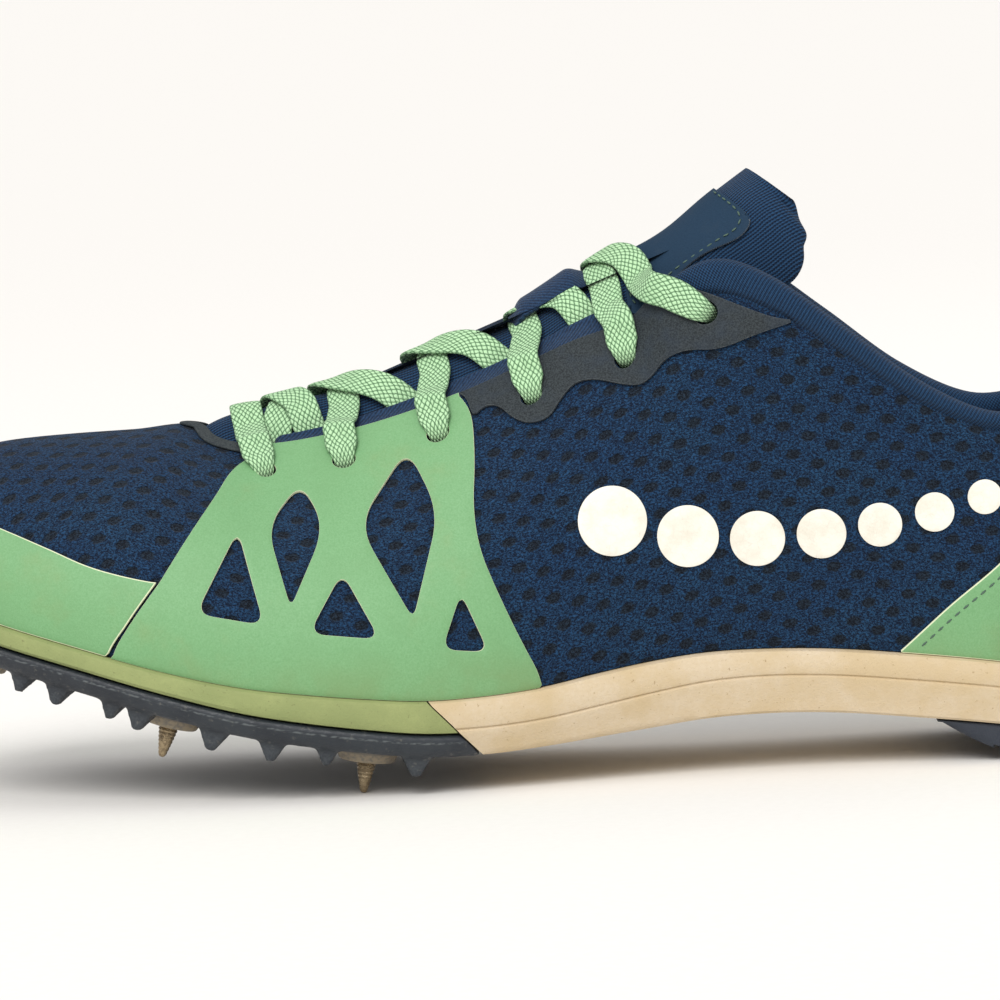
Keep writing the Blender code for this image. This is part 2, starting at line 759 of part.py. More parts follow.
# Overlays are cut out of a thin shell round the upper, by outlines seen from the side.
# The outlines are places along the length, and heights as shares of the upper's height

RAND = (
    (-0.05, 0.718), (0.020, 0.704), (0.070, 0.644), (0.119, 0.594), (0.156, 0.550),
    (0.185, 0.514), (0.211, 0.492), (0.2355, 0.476), (0.2115, 0.399), (0.1925, 0.322),
    (0.1925, -0.057), (-0.05, -0.057),
)
CAGE = (
    (0.2400, 0.476), (0.2614, 0.584), (0.2800, 0.690), (0.2810, 0.855),
    (0.452, 0.912), (0.4600, 0.835), (0.4720, 0.809), (0.4768, 0.773), (0.4768, 0.688),
    (0.4726, 0.603), (0.4754, 0.517), (0.4870, 0.430), (0.5039, 0.320), (0.5207, 0.222),
    (0.5240, -0.057), (0.1980, -0.057), (0.1980, 0.325), (0.2150, 0.399),
)
CAGE_HOLES = (
    ((0.3446, 0.652), (0.3614, 0.575), (0.3347, 0.422), (0.3196, 0.581)),
    ((0.4263, 0.714), (0.4470, 0.596), (0.4249, 0.389), (0.3884, 0.576)),
    ((0.2968, 0.560), (0.3126, 0.391), (0.2674, 0.421)),
    ((0.3737, 0.468), (0.3965, 0.350), (0.3505, 0.369)),
    ((0.4611, 0.412), (0.4765, 0.311), (0.4470, 0.322)),
)
EYESTAY = (
    (0.4800, 0.781), (0.4968, 0.805), (0.5112, 0.771), (0.5340, 0.778), (0.5537, 0.851),
    (0.5874, 0.846), (0.6098, 0.843), (0.6218, 0.895), (0.6407, 0.914), (0.6632, 0.911),
    (0.6937, 0.921), (0.7200, 0.940), (0.6874, 1.009), (0.6432, 1.040), (0.6250, 1.126),
    (0.4640, 0.969), (0.4640, 0.844), (0.4760, 0.812),
)
# The trim's outline is seen from above: place along the length, and share of the ball width
THROAT_TRIM = (
    (0.2780, -0.190), (0.2660, -0.155), (0.2540, -0.101), (0.2480, -0.035), (0.2480, 0.054),
    (0.2540, 0.120), (0.2660, 0.174), (0.2780, 0.209),
)
COUNTER = (
    (0.7909, 0.260), (0.8260, 0.345), (0.8646, 0.432), (0.9000, 0.527), (0.9350, 0.621),
    (0.9700, 0.684), (1.0500, 0.698), (1.0500, -0.057), (0.7860, -0.057), (0.7860, 0.228),
)
CORNER_ROUNDING = 0.0022


def rounded(corners, radius):
    """Replaces each corner of an outline with three points of an arc."""
    made = []
    count = len(corners)
    for index, corner in enumerate(corners):
        before = corners[index - 1] - corner
        after = corners[(index + 1) % count] - corner
        reach_back = min(radius, np.linalg.norm(before) * 0.45)
        reach_on = min(radius, np.linalg.norm(after) * 0.45)
        first = corner + before / np.linalg.norm(before) * reach_back
        last = corner + after / np.linalg.norm(after) * reach_on
        made += [first, (first + last + 2 * corner) / 4, last]
    return made


def prism(name, outline, start, end, helpers, rounding=0.0, from_above=False):
    """A cutter: an outline seen from the side or above, drawn out through the shoe."""
    scale = BALL_WIDTH if from_above else UPPER_HEIGHT
    corners = [np.array([float(world_x(along)), other * scale]) for along, other in outline]
    if rounding:
        corners = rounded(corners, rounding)
    count = len(corners)
    if from_above:
        points = [(x, y, z) for z in (start, end) for x, y in corners]
    else:
        points = [(x, y, z) for y in (start, end) for x, z in corners]
    faces = [tuple(range(count)), tuple(range(2 * count - 1, count - 1, -1))]
    faces += [(i, count + i, count + (i + 1) % count, (i + 1) % count) for i in range(count)]
    cutter = add_mesh(name, points, faces, None, helpers)
    merge_and_face_out(cutter, 1e-7)
    return cutter


def cut_overlay(name, shell, outline, side, finish, into, helpers, holes=(), from_above=False):
    """One overlay from the shell. Side is -1 for the outer, 1 for the inner and 0 for both."""
    reach = BALL_WIDTH
    start, end = (-reach, reach) if side == 0 else (0.0, side * reach)
    if from_above:
        start, end = UPPER_HEIGHT / 2, UPPER_HEIGHT * 1.5
    overlay = add_object(name, shell.data.copy(), finish, into)
    cutter = prism("cutter", outline, start, end, helpers, CORNER_ROUNDING, from_above)
    boolean(overlay, cutter, "INTERSECT")
    bpy.data.objects.remove(cutter, do_unlink=True)
    for hole in holes:
        cutter = prism("cutter", hole, start, end, helpers, CORNER_ROUNDING)
        boolean(overlay, cutter, "DIFFERENCE")
        bpy.data.objects.remove(cutter, do_unlink=True)
    keep_largest(overlay)
    overlay.data.materials.clear()
    overlay.data.materials.append(material(finish))
    return overlay


def keep_largest(obj):
    """Drops slivers that a cut leaves beside the main body."""
    work = bmesh.new()
    work.from_mesh(obj.data)
    left = set(work.verts)
    groups = []
    while left:
        waiting = [left.pop()]
        group = []
        while waiting:
            vert = waiting.pop()
            group.append(vert)
            for edge in vert.link_edges:
                other = edge.other_vert(vert)
                if other in left:
                    left.remove(other)
                    waiting.append(other)
        groups.append(group)
    groups.sort(key=len)
    for group in groups[:-1]:
        bmesh.ops.delete(work, geom=group, context="VERTS")
    work.to_mesh(obj.data)
    work.free()


def overlay_shell(grid, helpers):
    turns, points, _ = grid
    shell = add_mesh(
        "overlay_shell", points.reshape(-1, 3),
        grid_faces(len(points), len(turns), closed=True), None, helpers,
    )
    merge_and_face_out(shell, 2e-5)
    split_faces(shell)
    mesh = shell.data
    normals = [vert.normal.copy() for vert in mesh.vertices]
    for vert, normal in zip(mesh.vertices, normals):
        vert.co += normal * GAP
    layer = shell.modifiers.new("layer", "SOLIDIFY")
    layer.thickness = OVERLAY_THICKNESS
    layer.offset = 1.0
    return as_mesh(shell)


def build_overlays(grid, into, helpers):
    shell = overlay_shell(grid, helpers)
    made = [
        cut_overlay("toe_rand", shell, RAND, 0, "synthetic_green", into, helpers),
        cut_overlay("cage_outer", shell, CAGE, -1, "synthetic_green", into, helpers, CAGE_HOLES),
        cut_overlay("cage_inner", shell, CAGE, 1, "synthetic_green", into, helpers, CAGE_HOLES),
        cut_overlay("eyestay_outer", shell, EYESTAY, -1, "synthetic_grey", into, helpers),
        cut_overlay("eyestay_inner", shell, EYESTAY, 1, "synthetic_grey", into, helpers),
        cut_overlay(
            "throat_trim", shell, THROAT_TRIM, 0, "synthetic_grey", into, helpers, from_above=True
        ),
        cut_overlay("heel_counter", shell, COUNTER, 0, "synthetic_green", into, helpers),
    ]
    bpy.data.objects.remove(shell, do_unlink=True)
    return made


# Eyelets: place along the length, and distance below the upper's edge

EYELETS = (
    (0.317, 0.0085), (0.378, 0.0085), (0.450, 0.0085), (0.522, 0.0085), (0.594, 0.0085),
    (0.655, 0.0120),
)


def eyelet_turn(eyelet, side):
    share, inset = eyelet
    low, high = float(THROAT_ROW), float(TOP_EYELET_ROW + 2)
    for _ in range(26):
        middle = (low + high) / 2
        turn = middle if side < 0 else ROUND_COUNT - middle
        up = 1 - inset / rib_length(turn)
        if skin(turn, up)[0, 0] < world_x(share):
            low = middle
        else:
            high = middle
    return low if side < 0 else ROUND_COUNT - low


def eyelet_spot(eyelet, side):
    turn = eyelet_turn(eyelet, side)
    up = 1 - eyelet[1] / rib_length(turn)
    return Vector(skin(turn, up)[0]), Vector(skin_normal(turn, up)[0])


def cut_eyelets(targets, helpers):
    work = bmesh.new()
    for side in (-1, 1):
        for eyelet in EYELETS:
            spot, normal = eyelet_spot(eyelet, side)
            turn = normal.to_track_quat("Z", "Y").to_matrix().to_4x4()
            bmesh.ops.create_cone(
                work, cap_ends=True, segments=8, radius1=EYELET_RADIUS, radius2=EYELET_RADIUS,
                depth=0.012, matrix=Matrix.Translation(spot) @ turn,
            )
    mesh = bpy.data.meshes.new("eyelet_cutter")
    work.to_mesh(mesh)
    work.free()
    cutter = add_object("eyelet_cutter", mesh, None, helpers)
    for target in targets:
        boolean(target, cutter, "DIFFERENCE")
    bpy.data.objects.remove(cutter, do_unlink=True)


# The tongue lies under the throat's edges and stands free above them

TONGUE_STEPS = 9
TONGUE_WING = 0.0090
TONGUE_SHOULDER = 0.0080
# Rows where the tongue stands free: place along the length of its ridge, height there (share
# of the upper's height), half width and how far its sides fall back (shares of ball width)
TONGUE_FREE = (
    (0.6320, 1.160, 0.205, 0.235),
    (0.6600, 1.222, 0.205, 0.270),
    (0.6800, 1.262, 0.190, 0.215),
    (0.6870, 1.275, 0.140, 0.110),
)
TONGUE_LEAN = (0.72, 0.0, -0.69)
TONGUE_ARCH = 80
# The tongue's ridge in the throat: place along the length, height (share of the upper's)
TONGUE_RIDGE = (
    (0.262, 0.768), (0.270, 0.774), (0.279, 0.790), (0.315, 0.812), (0.333, 0.822),
    (0.375, 0.846), (0.407, 0.873), (0.439, 0.905), (0.473, 0.940), (0.501, 0.963),
    (0.523, 0.992), (0.554, 1.044), (0.582, 1.095), (0.602, 1.123),
)
TONGUE_CLEAR = LACE_THICKNESS + 2 * CLEARANCE


def inset_skin(turn, distance, depth):
    """A point under the upper, some distance below a rib's top."""
    up = 1 - distance / rib_length(turn)
    return skin(turn, up)[0] - skin_normal(turn, up)[0] * depth


def tongue_controls(turn):
    """Five points across the tongue's top face, where the upper covers its sides."""
    depth = WALL + TONGUE_CLEAR
    row = ribs_at([turn])[0]
    half_gap = abs(row[3] - centre_y(row[2]))
    under = max(0.0, TONGUE_SHOULDER - half_gap)
    sides = []
    for rib in (turn, ROUND_COUNT - turn):
        sides.append((inset_skin(rib, under + TONGUE_WING, depth), inset_skin(rib, under, depth)))
    middle = (sides[0][1] + sides[1][1]) / 2
    width = np.linalg.norm(sides[0][1] - sides[1][1]) / 2
    middle[2] += width * 0.09
    if half_gap > 0.002:
        places = [knot[0] for knot in TONGUE_RIDGE]
        heights = [knot[1] * UPPER_HEIGHT for knot in TONGUE_RIDGE]
        middle[2] = hermite(places, heights, share_of(middle[:1]))[0]
    return np.array([sides[0][0], sides[0][1], middle, sides[1][1], sides[1][0]])


def free_controls(row):
    """Five points across the tongue where it stands free. It is arched and leans back."""
    along, height, half, drop = row
    middle = np.array([float(world_x(along)), 0.0, height * UPPER_HEIGHT])
    lean = np.array(TONGUE_LEAN)
    points = []
    full = math.radians(TONGUE_ARCH)
    for across in (-1.0, -0.62, 0.0, 0.62, 1.0):
        fall = drop * BALL_WIDTH * (1 - math.cos(across * full)) / (1 - math.cos(full))
        aside = half * BALL_WIDTH * math.sin(across * full) / math.sin(full)
        points.append(middle + np.array([0.0, aside, 0.0]) + lean * fall)
    return np.array(points)


def tongue_rows():
    turns = np.linspace(5.0, TOP_EYELET_ROW, 15)
    rows = [tongue_controls(turn) for turn in turns]
    rows += [free_controls(row) for row in TONGUE_FREE]
    return np.array(rows)


TONGUE_LAST = 14


def tongue_face(across, along):
    """Top face of the tongue: across runs -1 to 1 and along counts its rows."""
    rows = TONGUE_TABLE
    at = np.clip(along, 0, len(rows) - 1)
    section = hermite(np.arange(len(rows)), rows, np.array([at]))[0]
    knots = np.array([-1.0, -0.62, 0.0, 0.62, 1.0])
    return hermite(knots, section, np.array([across]))[0]


TONGUE_TABLE = tongue_rows()


def tongue_normal(across, along):
    step = 0.04
    side = tongue_face(across + step, along) - tongue_face(across - step, along)
    onward = tongue_face(across, along + step) - tongue_face(across, along - step)
    normal = np.cross(onward, side)
    normal /= np.linalg.norm(normal)
    return normal if normal[2] > 0 else -normal


def face_up(obj):
    """Turns an open sheet's faces so that they look up."""
    work = bmesh.new()
    work.from_mesh(obj.data)
    bmesh.ops.recalc_face_normals(work, faces=work.faces)
    if sum(face.normal.z * face.calc_area() for face in work.faces) < 0:
        bmesh.ops.reverse_faces(work, faces=work.faces)
    work.to_mesh(obj.data)
    work.free()


def build_tongue(into):
    acrosses = np.linspace(-1, 1, TONGUE_STEPS)
    rows = len(TONGUE_TABLE)
    points = [tongue_face(a, r) for r in range(rows) for a in acrosses]
    weights = []
    for r in range(rows):
        top = smooth_step((r - TONGUE_LAST + 2) / 4)
        end = 0.45 if r == rows - 1 else 1.0
        thick = (TONGUE_THICKNESS + (TONGUE_TOP_THICKNESS - TONGUE_THICKNESS) * top) * end
        for a in acrosses:
            weights.append(thick * (1 - 0.55 * abs(a) ** 3) / TONGUE_TOP_THICKNESS)
    tongue = add_mesh("tongue", points, grid_faces(rows, TONGUE_STEPS), "knit_navy", into)
    face_up(tongue)
    group = tongue.vertex_groups.new(name="wall")
    for index, weight in enumerate(weights):
        group.add([index], float(weight), "REPLACE")
    shell = tongue.modifiers.new("wall", "SOLIDIFY")
    shell.thickness = TONGUE_TOP_THICKNESS
    shell.offset = -1.0
    shell.vertex_group = group.name
    as_mesh(tongue)
    shade(tongue)
    return tongue


# Laces: flat straps from eyelet to eyelet over the tongue

LACE_STEPS = 14
LACE_OVER_CLEARANCE = 0.0016
TUCK = 0.66
TOP_STRAP_SLANT = 0.65
STACK_RISE = 0.0022
STACK_BLEND = 0.22
EDGE_BLEND = 0.36
EDGE_SKIP = 2
# A crossing goes nearly straight up to the tongue's ridge, then slants to the next eyelet
CROSS_POWER = 2.0
EDGE_LIFT = 0.0009
MIDDLE_BLEND = 0.30


def along_of_turn(turn):
    return (turn - 5.0) / (TOP_EYELET_ROW - 5.0) * TONGUE_LAST


def outside_points(eyelet, side, slant=0.0):
    """A strap's way over the upper, from an eyelet up to the throat's edge. The slant is how
    many ribs nearer the toe the strap meets the edge."""
    foot_turn = eyelet_turn(eyelet, side)
    level = GAP + OVERLAY_THICKNESS + LACE_OVER_CLEARANCE + LACE_THICKNESS / 2
    made = []
    for part in (1.0, 0.5, 0.05):
        turn = foot_turn + side * slant * (1 - part)
        up = 1 - eyelet[1] * part / rib_length(turn)
        normal = skin_normal(turn, up)[0]
        made.append((skin(turn, up)[0] + normal * (level + EDGE_LIFT * (1 - part)), normal))
    return made


def lace_path(origin, side, goal, from_outside, to_outside, low=0.0, lift=0.0):
    """Middle line and surface normals of a strap over the tongue, from one side to the
    other. Each end lies either outside an eyelet or under the throat's edge."""
    over_edge = TONGUE_CLEAR + WALL + GAP + OVERLAY_THICKNESS + CLEARANCE
    half = LACE_THICKNESS / 2
    first = along_of_turn(eyelet_turn(origin, -1))
    last = min(along_of_turn(eyelet_turn(goal, -1)), TONGUE_LAST + 0.7)
    spots = []
    for step in np.linspace(0.0, 1.0, LACE_STEPS):
        across = side * (1 - 2 * step) * TUCK
        along = first + (last - first) * step**CROSS_POWER
        from_start = step if from_outside else 1.0
        to_end = 1 - step if to_outside else 1.0
        nearest = min(from_start, to_end)
        height = low * float(smooth_step(min(step, 1 - step) / MIDDLE_BLEND))
        stacked = smooth_step(1 - (nearest - STACK_BLEND) / STACK_BLEND)
        height = max(height, STACK_RISE * float(stacked))
        height = max(height, over_edge * float(smooth_step(1 - nearest / EDGE_BLEND)))
        height += CLEARANCE + half + lift * math.sin(math.pi * step) ** 2
        normal = tongue_normal(across, along)
        spots.append((tongue_face(across, along) + normal * height, normal))
    start = outside_points(origin, side) if from_outside else []
    slant = TOP_STRAP_SLANT if goal == EYELETS[-1] else 0.0
    end = outside_points(goal, -side, slant)[::-1] if to_outside else []
    if start:
        spots = spots[EDGE_SKIP:]
    if end:
        spots = spots[:-EDGE_SKIP]
    return start + spots + end


def strap(name, line, into):
    points = []
    count = len(line)
    for index, (spot, normal) in enumerate(line):
        ahead = line[min(index + 1, count - 1)][0] - line[max(index - 1, 0)][0]
        wide = np.cross(ahead, normal)
        wide /= np.linalg.norm(wide)
        lift = np.cross(wide, ahead)
        lift /= np.linalg.norm(lift)
        if lift.dot(normal) < 0:
            lift = -lift
        for side, level in ((-1, -1), (1, -1), (1, 1), (-1, 1)):
            points.append(spot + wide * side * LACE_WIDTH / 2 + lift * level * LACE_THICKNESS / 2)
    faces = [
        (4 * i + k, 4 * i + (k + 1) % 4, 4 * i + 4 + (k + 1) % 4, 4 * i + 4 + k)
        for i in range(count - 1)
        for k in range(4)
    ]
    faces += [(3, 2, 1, 0), (4 * count - 4, 4 * count - 3, 4 * count - 2, 4 * count - 1)]
    made = add_mesh(name, points, faces, "lace_green", into)
    merge_and_face_out(made)
    return made


def build_laces(into):
    first = EYELETS[0]
    bar_height = LACE_THICKNESS + 3 * CLEARANCE
    over_keeper = {2: 0.0016, 4: 0.0042}
    bar = strap("lace_bar", lace_path(first, -1, first, True, True, low=bar_height), into)
    shade(bar)
    for index in range(len(EYELETS) - 1):
        ends = (EYELETS[index], EYELETS[index + 1])
        from_outside = index > 0
        to_outside = index == len(EYELETS) - 2
        low = over_keeper.get(index, 0.0)
        one = strap(
            f"lace_crossing_{index + 1}",
            lace_path(ends[0], -1, ends[1], from_outside, to_outside, low), into,
        )
        other = strap(
            "lace_other",
            lace_path(ends[0], 1, ends[1], from_outside, to_outside, low, LACE_THICKNESS * 0.58),
            into,
        )
        boolean(one, other, "UNION")
        bpy.data.objects.remove(other, do_unlink=True)
        keep_largest(one)
        shade(one)


# The lace keeper is a band on the tongue's ridge that the fourth crossing passes under

KEEPER_HALF_WIDTH = 0.19
KEEPER_RISE = 0.0056
KEEPER_THICKNESS = 0.0009
KEEPER_REACH = 0.0116
KEEPER_FORWARD = 0.50
KEEPER_BLEND = 0.26


def build_lace_keeper(into):
    middle = along_of_turn((eyelet_turn(EYELETS[3], -1) + eyelet_turn(EYELETS[4], -1)) / 2)
    middle -= KEEPER_FORWARD
    step = 0.2
    pace = np.linalg.norm(tongue_face(0, middle + step) - tongue_face(0, middle - step)) / (2 * step)
    points = []
    places = np.linspace(-1.0, 1.0, 11)
    for place in places:
        rise = 2 * GAP + KEEPER_RISE * float(smooth_step((1 - abs(place)) / KEEPER_BLEND))
        for across in (-1.0, -0.5, 0.0, 0.5, 1.0):
            along = middle + place * KEEPER_REACH / pace
            spot = tongue_face(across * KEEPER_HALF_WIDTH, along)
            points.append(spot + tongue_normal(across * KEEPER_HALF_WIDTH, along) * rise)
    keeper = add_mesh("lace_keeper", points, grid_faces(len(places), 5), "knit_navy", into)
    face_up(keeper)
    shell = keeper.modifiers.new("band", "SOLIDIFY")
    shell.thickness = KEEPER_THICKNESS
    shell.offset = 1.0
    as_mesh(keeper)
    shade(keeper)


def main():
    clear_scene()
    parts = collection("track_spike_shoe")
    helpers = collection("helpers")
    build_midsoles(parts)
    build_plate(parts, helpers)
    build_heel_pad(parts, helpers)
    grid = skin_grid()
    upper = build_upper(grid, parts)
    overlays = build_overlays(grid, parts, helpers)
    cut_eyelets([upper, *overlays[1:6]], helpers)
    for obj in (upper, *overlays):
        shade(obj)
    build_insole(parts)
    build_tongue(parts)
    build_lace_keeper(parts)
    build_laces(parts)


main()
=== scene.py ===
"""A dressed track spike shoe, left foot, standing empty on its rear pins and heel pad.

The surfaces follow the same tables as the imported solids. Each piece is a mesh in its place:
a hollow mesh upper with a padded collar, glued green and grey layers, a toothed plate with
seats and pins, two midsoles, a heel pad, an insole, a padded tongue and flat woven laces.
"""

import math

import bpy
import numpy as np
from mathutils import Matrix, Vector
from mathutils.geometry import delaunay_2d_cdt


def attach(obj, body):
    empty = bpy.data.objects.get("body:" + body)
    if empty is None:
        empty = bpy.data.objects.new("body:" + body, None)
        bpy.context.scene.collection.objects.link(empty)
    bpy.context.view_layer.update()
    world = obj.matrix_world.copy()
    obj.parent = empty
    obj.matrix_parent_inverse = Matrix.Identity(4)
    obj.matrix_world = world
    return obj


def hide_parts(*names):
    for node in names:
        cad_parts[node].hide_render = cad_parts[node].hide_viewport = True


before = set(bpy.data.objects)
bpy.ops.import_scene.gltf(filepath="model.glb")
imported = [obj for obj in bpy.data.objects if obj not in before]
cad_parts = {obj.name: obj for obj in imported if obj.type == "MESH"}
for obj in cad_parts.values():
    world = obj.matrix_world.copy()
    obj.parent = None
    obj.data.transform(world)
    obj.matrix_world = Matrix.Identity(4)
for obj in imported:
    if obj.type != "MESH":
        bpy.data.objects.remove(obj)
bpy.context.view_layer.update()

MM = 1000.0  # millimetres in a metre

# Driving sizes, in metres
LENGTH = 0.285
BALL_WIDTH = 0.090
UPPER_HEIGHT = 0.100
TOE_SPRING = 0.032
SOLE_THICKNESS = 0.0145
PLATE_THICKNESS = 0.0049
PIN_LENGTH = 0.0071
PIN_BASE_RADIUS = 0.00205
PIN_TIP_RADIUS = 0.0008
SEAT_RADIUS = 0.0066
SEAT_DEPTH = 0.0030
HEEL_PAD_THICKNESS = 0.0052
WALL = 0.0017
COLLAR_WALL = 0.0052
LASTING_MARGIN = 0.006
MIDSOLE_LIP = 0.0020
INSOLE_THICKNESS = 0.0035
TONGUE_THICKNESS = 0.0038
TONGUE_TOP_THICKNESS = 0.0070
LACE_WIDTH = 0.0070
LACE_THICKNESS = 0.0012
TOOTH_HEIGHT = 0.0042
TOOTH_WIDTH = 0.0085
GAP = 0.0003
CLEARANCE = 0.0005

# Places along the shoe, as shares of its length from the toe tip
HEEL_REST = 0.925
REAR_PIN = 0.386
PLATE_END = 0.515
JOINT_TOP = 0.433
JOINT_FOOT = 0.472
PAD_START = 0.815
PAD_END = 0.985

# The sole from the side. Each row: place along the length, rise of the underside above the
# straight line from rear pins to heel (share of toe spring), thickness (share of the sole's)
SOLE_SIDE = (
    (0.000, 0.990, 0.72),
    (0.060, 0.800, 0.69),
    (0.115, 0.628, 0.66),
    (0.170, 0.475, 0.66),
    (0.240, 0.281, 0.68),
    (0.300, 0.135, 0.73),
    (0.345, 0.058, 0.77),
    (0.386, 0.000, 0.80),
    (0.430, -0.048, 0.83),
    (0.475, -0.050, 0.86),
    (0.520, -0.015, 0.88),
    (0.560, 0.032, 0.94),
    (0.600, 0.083, 0.98),
    (0.640, 0.136, 0.98),
    (0.690, 0.170, 0.96),
    (0.740, 0.171, 0.95),
    (0.790, 0.142, 0.95),
    (0.840, 0.104, 0.94),
    (0.890, 0.052, 0.93),
    (0.930, 0.012, 0.97),
    (0.965, 0.018, 1.02),
    (1.000, 0.090, 1.02),
)

# One row for each rib of the last, toe to heel. Columns: foot of the rib along the length,
# its outer and inner half widths (shares of the ball width), top of the rib along the
# length, half of the opening there (share of the ball width), top height (share of the
# upper's height), outward lean at the foot and slope at the top in degrees, the lengths of
# the two handles (shares of the rib's chord), and how much of the collar's padding it has
RIBS = (
    (0.000, -0.055, 0.055, 0.1350, 0.000, 0.770, 9, 3, 0.30, 0.46, 0.0),
    (0.006, 0.045, 0.155, 0.1365, 0.000, 0.771, 9, 3, 0.30, 0.46, 0.0),
    (0.025, 0.155, 0.250, 0.1410, 0.000, 0.772, 9, 3, 0.31, 0.45, 0.0),
    (0.060, 0.250, 0.328, 0.1520, 0.000, 0.774, 9, 3, 0.33, 0.43, 0.0),
    (0.110, 0.333, 0.394, 0.1780, 0.000, 0.777, 9, 3, 0.36, 0.40, 0.0),
    (0.175, 0.411, 0.450, 0.2180, 0.000, 0.780, 9, 4, 0.38, 0.38, 0.0),
    (0.240, 0.465, 0.485, 0.2620, 0.000, 0.785, 9, 6, 0.39, 0.36, 0.0),
    (0.285, 0.489, 0.495, 0.2790, 0.110, 0.755, 8, 22, 0.40, 0.34, 0.0),
    (0.335, 0.500, 0.489, 0.3150, 0.152, 0.738, 7, 36, 0.40, 0.33, 0.0),
    (0.400, 0.494, 0.439, 0.3850, 0.158, 0.764, 6, 44, 0.40, 0.33, 0.0),
    (0.470, 0.456, 0.372, 0.4650, 0.164, 0.830, 6, 50, 0.40, 0.32, 0.0),
    (0.550, 0.394, 0.311, 0.5550, 0.178, 0.935, 6, 56, 0.38, 0.32, 0.0),
    (0.600, 0.361, 0.294, 0.6020, 0.196, 0.985, 7, 62, 0.36, 0.32, 0.1),
    (0.640, 0.344, 0.289, 0.6280, 0.232, 1.065, 8, 70, 0.34, 0.32, 0.6),
    (0.680, 0.336, 0.296, 0.6600, 0.276, 1.108, 8, 77, 0.33, 0.32, 1.0),
    (0.730, 0.333, 0.306, 0.7050, 0.318, 1.065, 8, 82, 0.33, 0.32, 1.0),
    (0.775, 0.337, 0.322, 0.7550, 0.341, 0.958, 8, 84, 0.34, 0.33, 1.0),
    (0.820, 0.344, 0.339, 0.8110, 0.350, 0.833, 9, 84, 0.35, 0.34, 1.0),
    (0.865, 0.346, 0.345, 0.8660, 0.340, 0.758, 10, 82, 0.36, 0.34, 1.0),
    (0.910, 0.323, 0.325, 0.9140, 0.302, 0.772, 10, 80, 0.36, 0.34, 1.0),
    (0.948, 0.275, 0.280, 0.9510, 0.238, 0.797, 10, 79, 0.36, 0.34, 1.0),
    (0.983, 0.178, 0.183, 0.9770, 0.134, 0.818, 10, 78, 0.36, 0.33, 1.0),
    (1.000, 0.000, 0.000, 0.9860, 0.000, 0.826, 10, 78, 0.36, 0.33, 1.0),
)
TOE_SWING = 0.055
SWING_END = 0.60
THROAT_ROW = 6
TOP_EYELET_ROW = 12
HEEL_ROW = len(RIBS) - 1
ROUND_COUNT = 2 * HEEL_ROW


# Curves through the tables

def hermite(knots, values, at):
    """A smooth curve through a table's rows, with slopes from each row's two neighbours."""
    knots = np.asarray(knots, float)
    values = np.asarray(values, float)
    at = np.clip(np.asarray(at, float), knots[0], knots[-1])
    slopes = np.gradient(values, knots, axis=0)
    low = np.clip(np.searchsorted(knots, at, side="right") - 1, 0, len(knots) - 2)
    span = knots[low + 1] - knots[low]
    t = (at - knots[low]) / span
    shape = t.shape + (1,) * (values.ndim - 1)
    t = t.reshape(shape)
    span = span.reshape(shape)
    return (
        (2 * t**3 - 3 * t**2 + 1) * values[low]
        + (t**3 - 2 * t**2 + t) * span * slopes[low]
        + (3 * t**2 - 2 * t**3) * values[low + 1]
        + (t**3 - t**2) * span * slopes[low + 1]
    )


def smooth_step(t):
    t = np.clip(t, 0.0, 1.0)
    return t * t * (3 - 2 * t)


def world_x(share):
    """World X of a place given as a share of the length from the toe tip."""
    return (np.asarray(share) - HEEL_REST) * LENGTH


def share_of(x):
    return np.asarray(x) / LENGTH + HEEL_REST


def pin_slope():
    """Slope of the plate's underside at the rear pins, which tilts them."""
    step = 0.01
    rises = hermite(*sole_rise(), np.array([REAR_PIN - step, REAR_PIN + step]))
    return (rises[1] - rises[0]) * TOE_SPRING / (2 * step * LENGTH)


def sole_rise():
    return [row[0] for row in SOLE_SIDE], [row[1] for row in SOLE_SIDE]


def front_stand():
    """Height of the plate's underside above the floor at the rear pins."""
    tilt = math.atan(pin_slope())
    return (PIN_LENGTH + SEAT_DEPTH) * math.cos(tilt) + PIN_TIP_RADIUS * abs(math.sin(tilt))


def underside(x):
    """Underside of plate and rear midsole, above the floor."""
    share = share_of(x)
    towards_heel = smooth_step((share - REAR_PIN) / (HEEL_REST - REAR_PIN))
    base = front_stand() + (HEEL_PAD_THICKNESS + GAP - front_stand()) * towards_heel
    return base + TOE_SPRING * hermite(*sole_rise(), share)


def feather(x):
    """Top edge of the midsole, where the upper starts."""
    places = [row[0] for row in SOLE_SIDE]
    shares = [row[2] for row in SOLE_SIDE]
    return underside(x) + SOLE_THICKNESS * hermite(places, shares, share_of(x))


def centre_y(x):
    """The last's centre line swings inwards towards the toe."""
    bend = np.clip(1 - share_of(x) / SWING_END, 0.0, 1.0)
    return TOE_SWING * BALL_WIDTH * bend**2


# The last: ribs round the foot, from the toe tip by the outer side to the heel and back

def rib_table():
    """Rows for one full turn round the last, as foot, top, lean, slope, handles, padding."""
    rows = np.array(RIBS, float)
    turn = []
    for index in range(ROUND_COUNT + 1):
        outer = index <= HEEL_ROW
        row = rows[index if outer else ROUND_COUNT - index]
        side = -1.0 if outer else 1.0
        foot_x = world_x(row[0])
        foot_y = side * row[1 if outer else 2] * BALL_WIDTH
        gap = side * row[4] * BALL_WIDTH
        turn.append([foot_x, foot_y, world_x(row[3]), gap, row[5] * UPPER_HEIGHT, *row[6:]])
    return np.array(turn)


RIB_TABLE = rib_table()
RIB_KNOTS = np.concatenate(
    [[0.0], np.cumsum(np.linalg.norm(np.diff(RIB_TABLE[:, :2], axis=0), axis=1))]
)
WRAP = 3


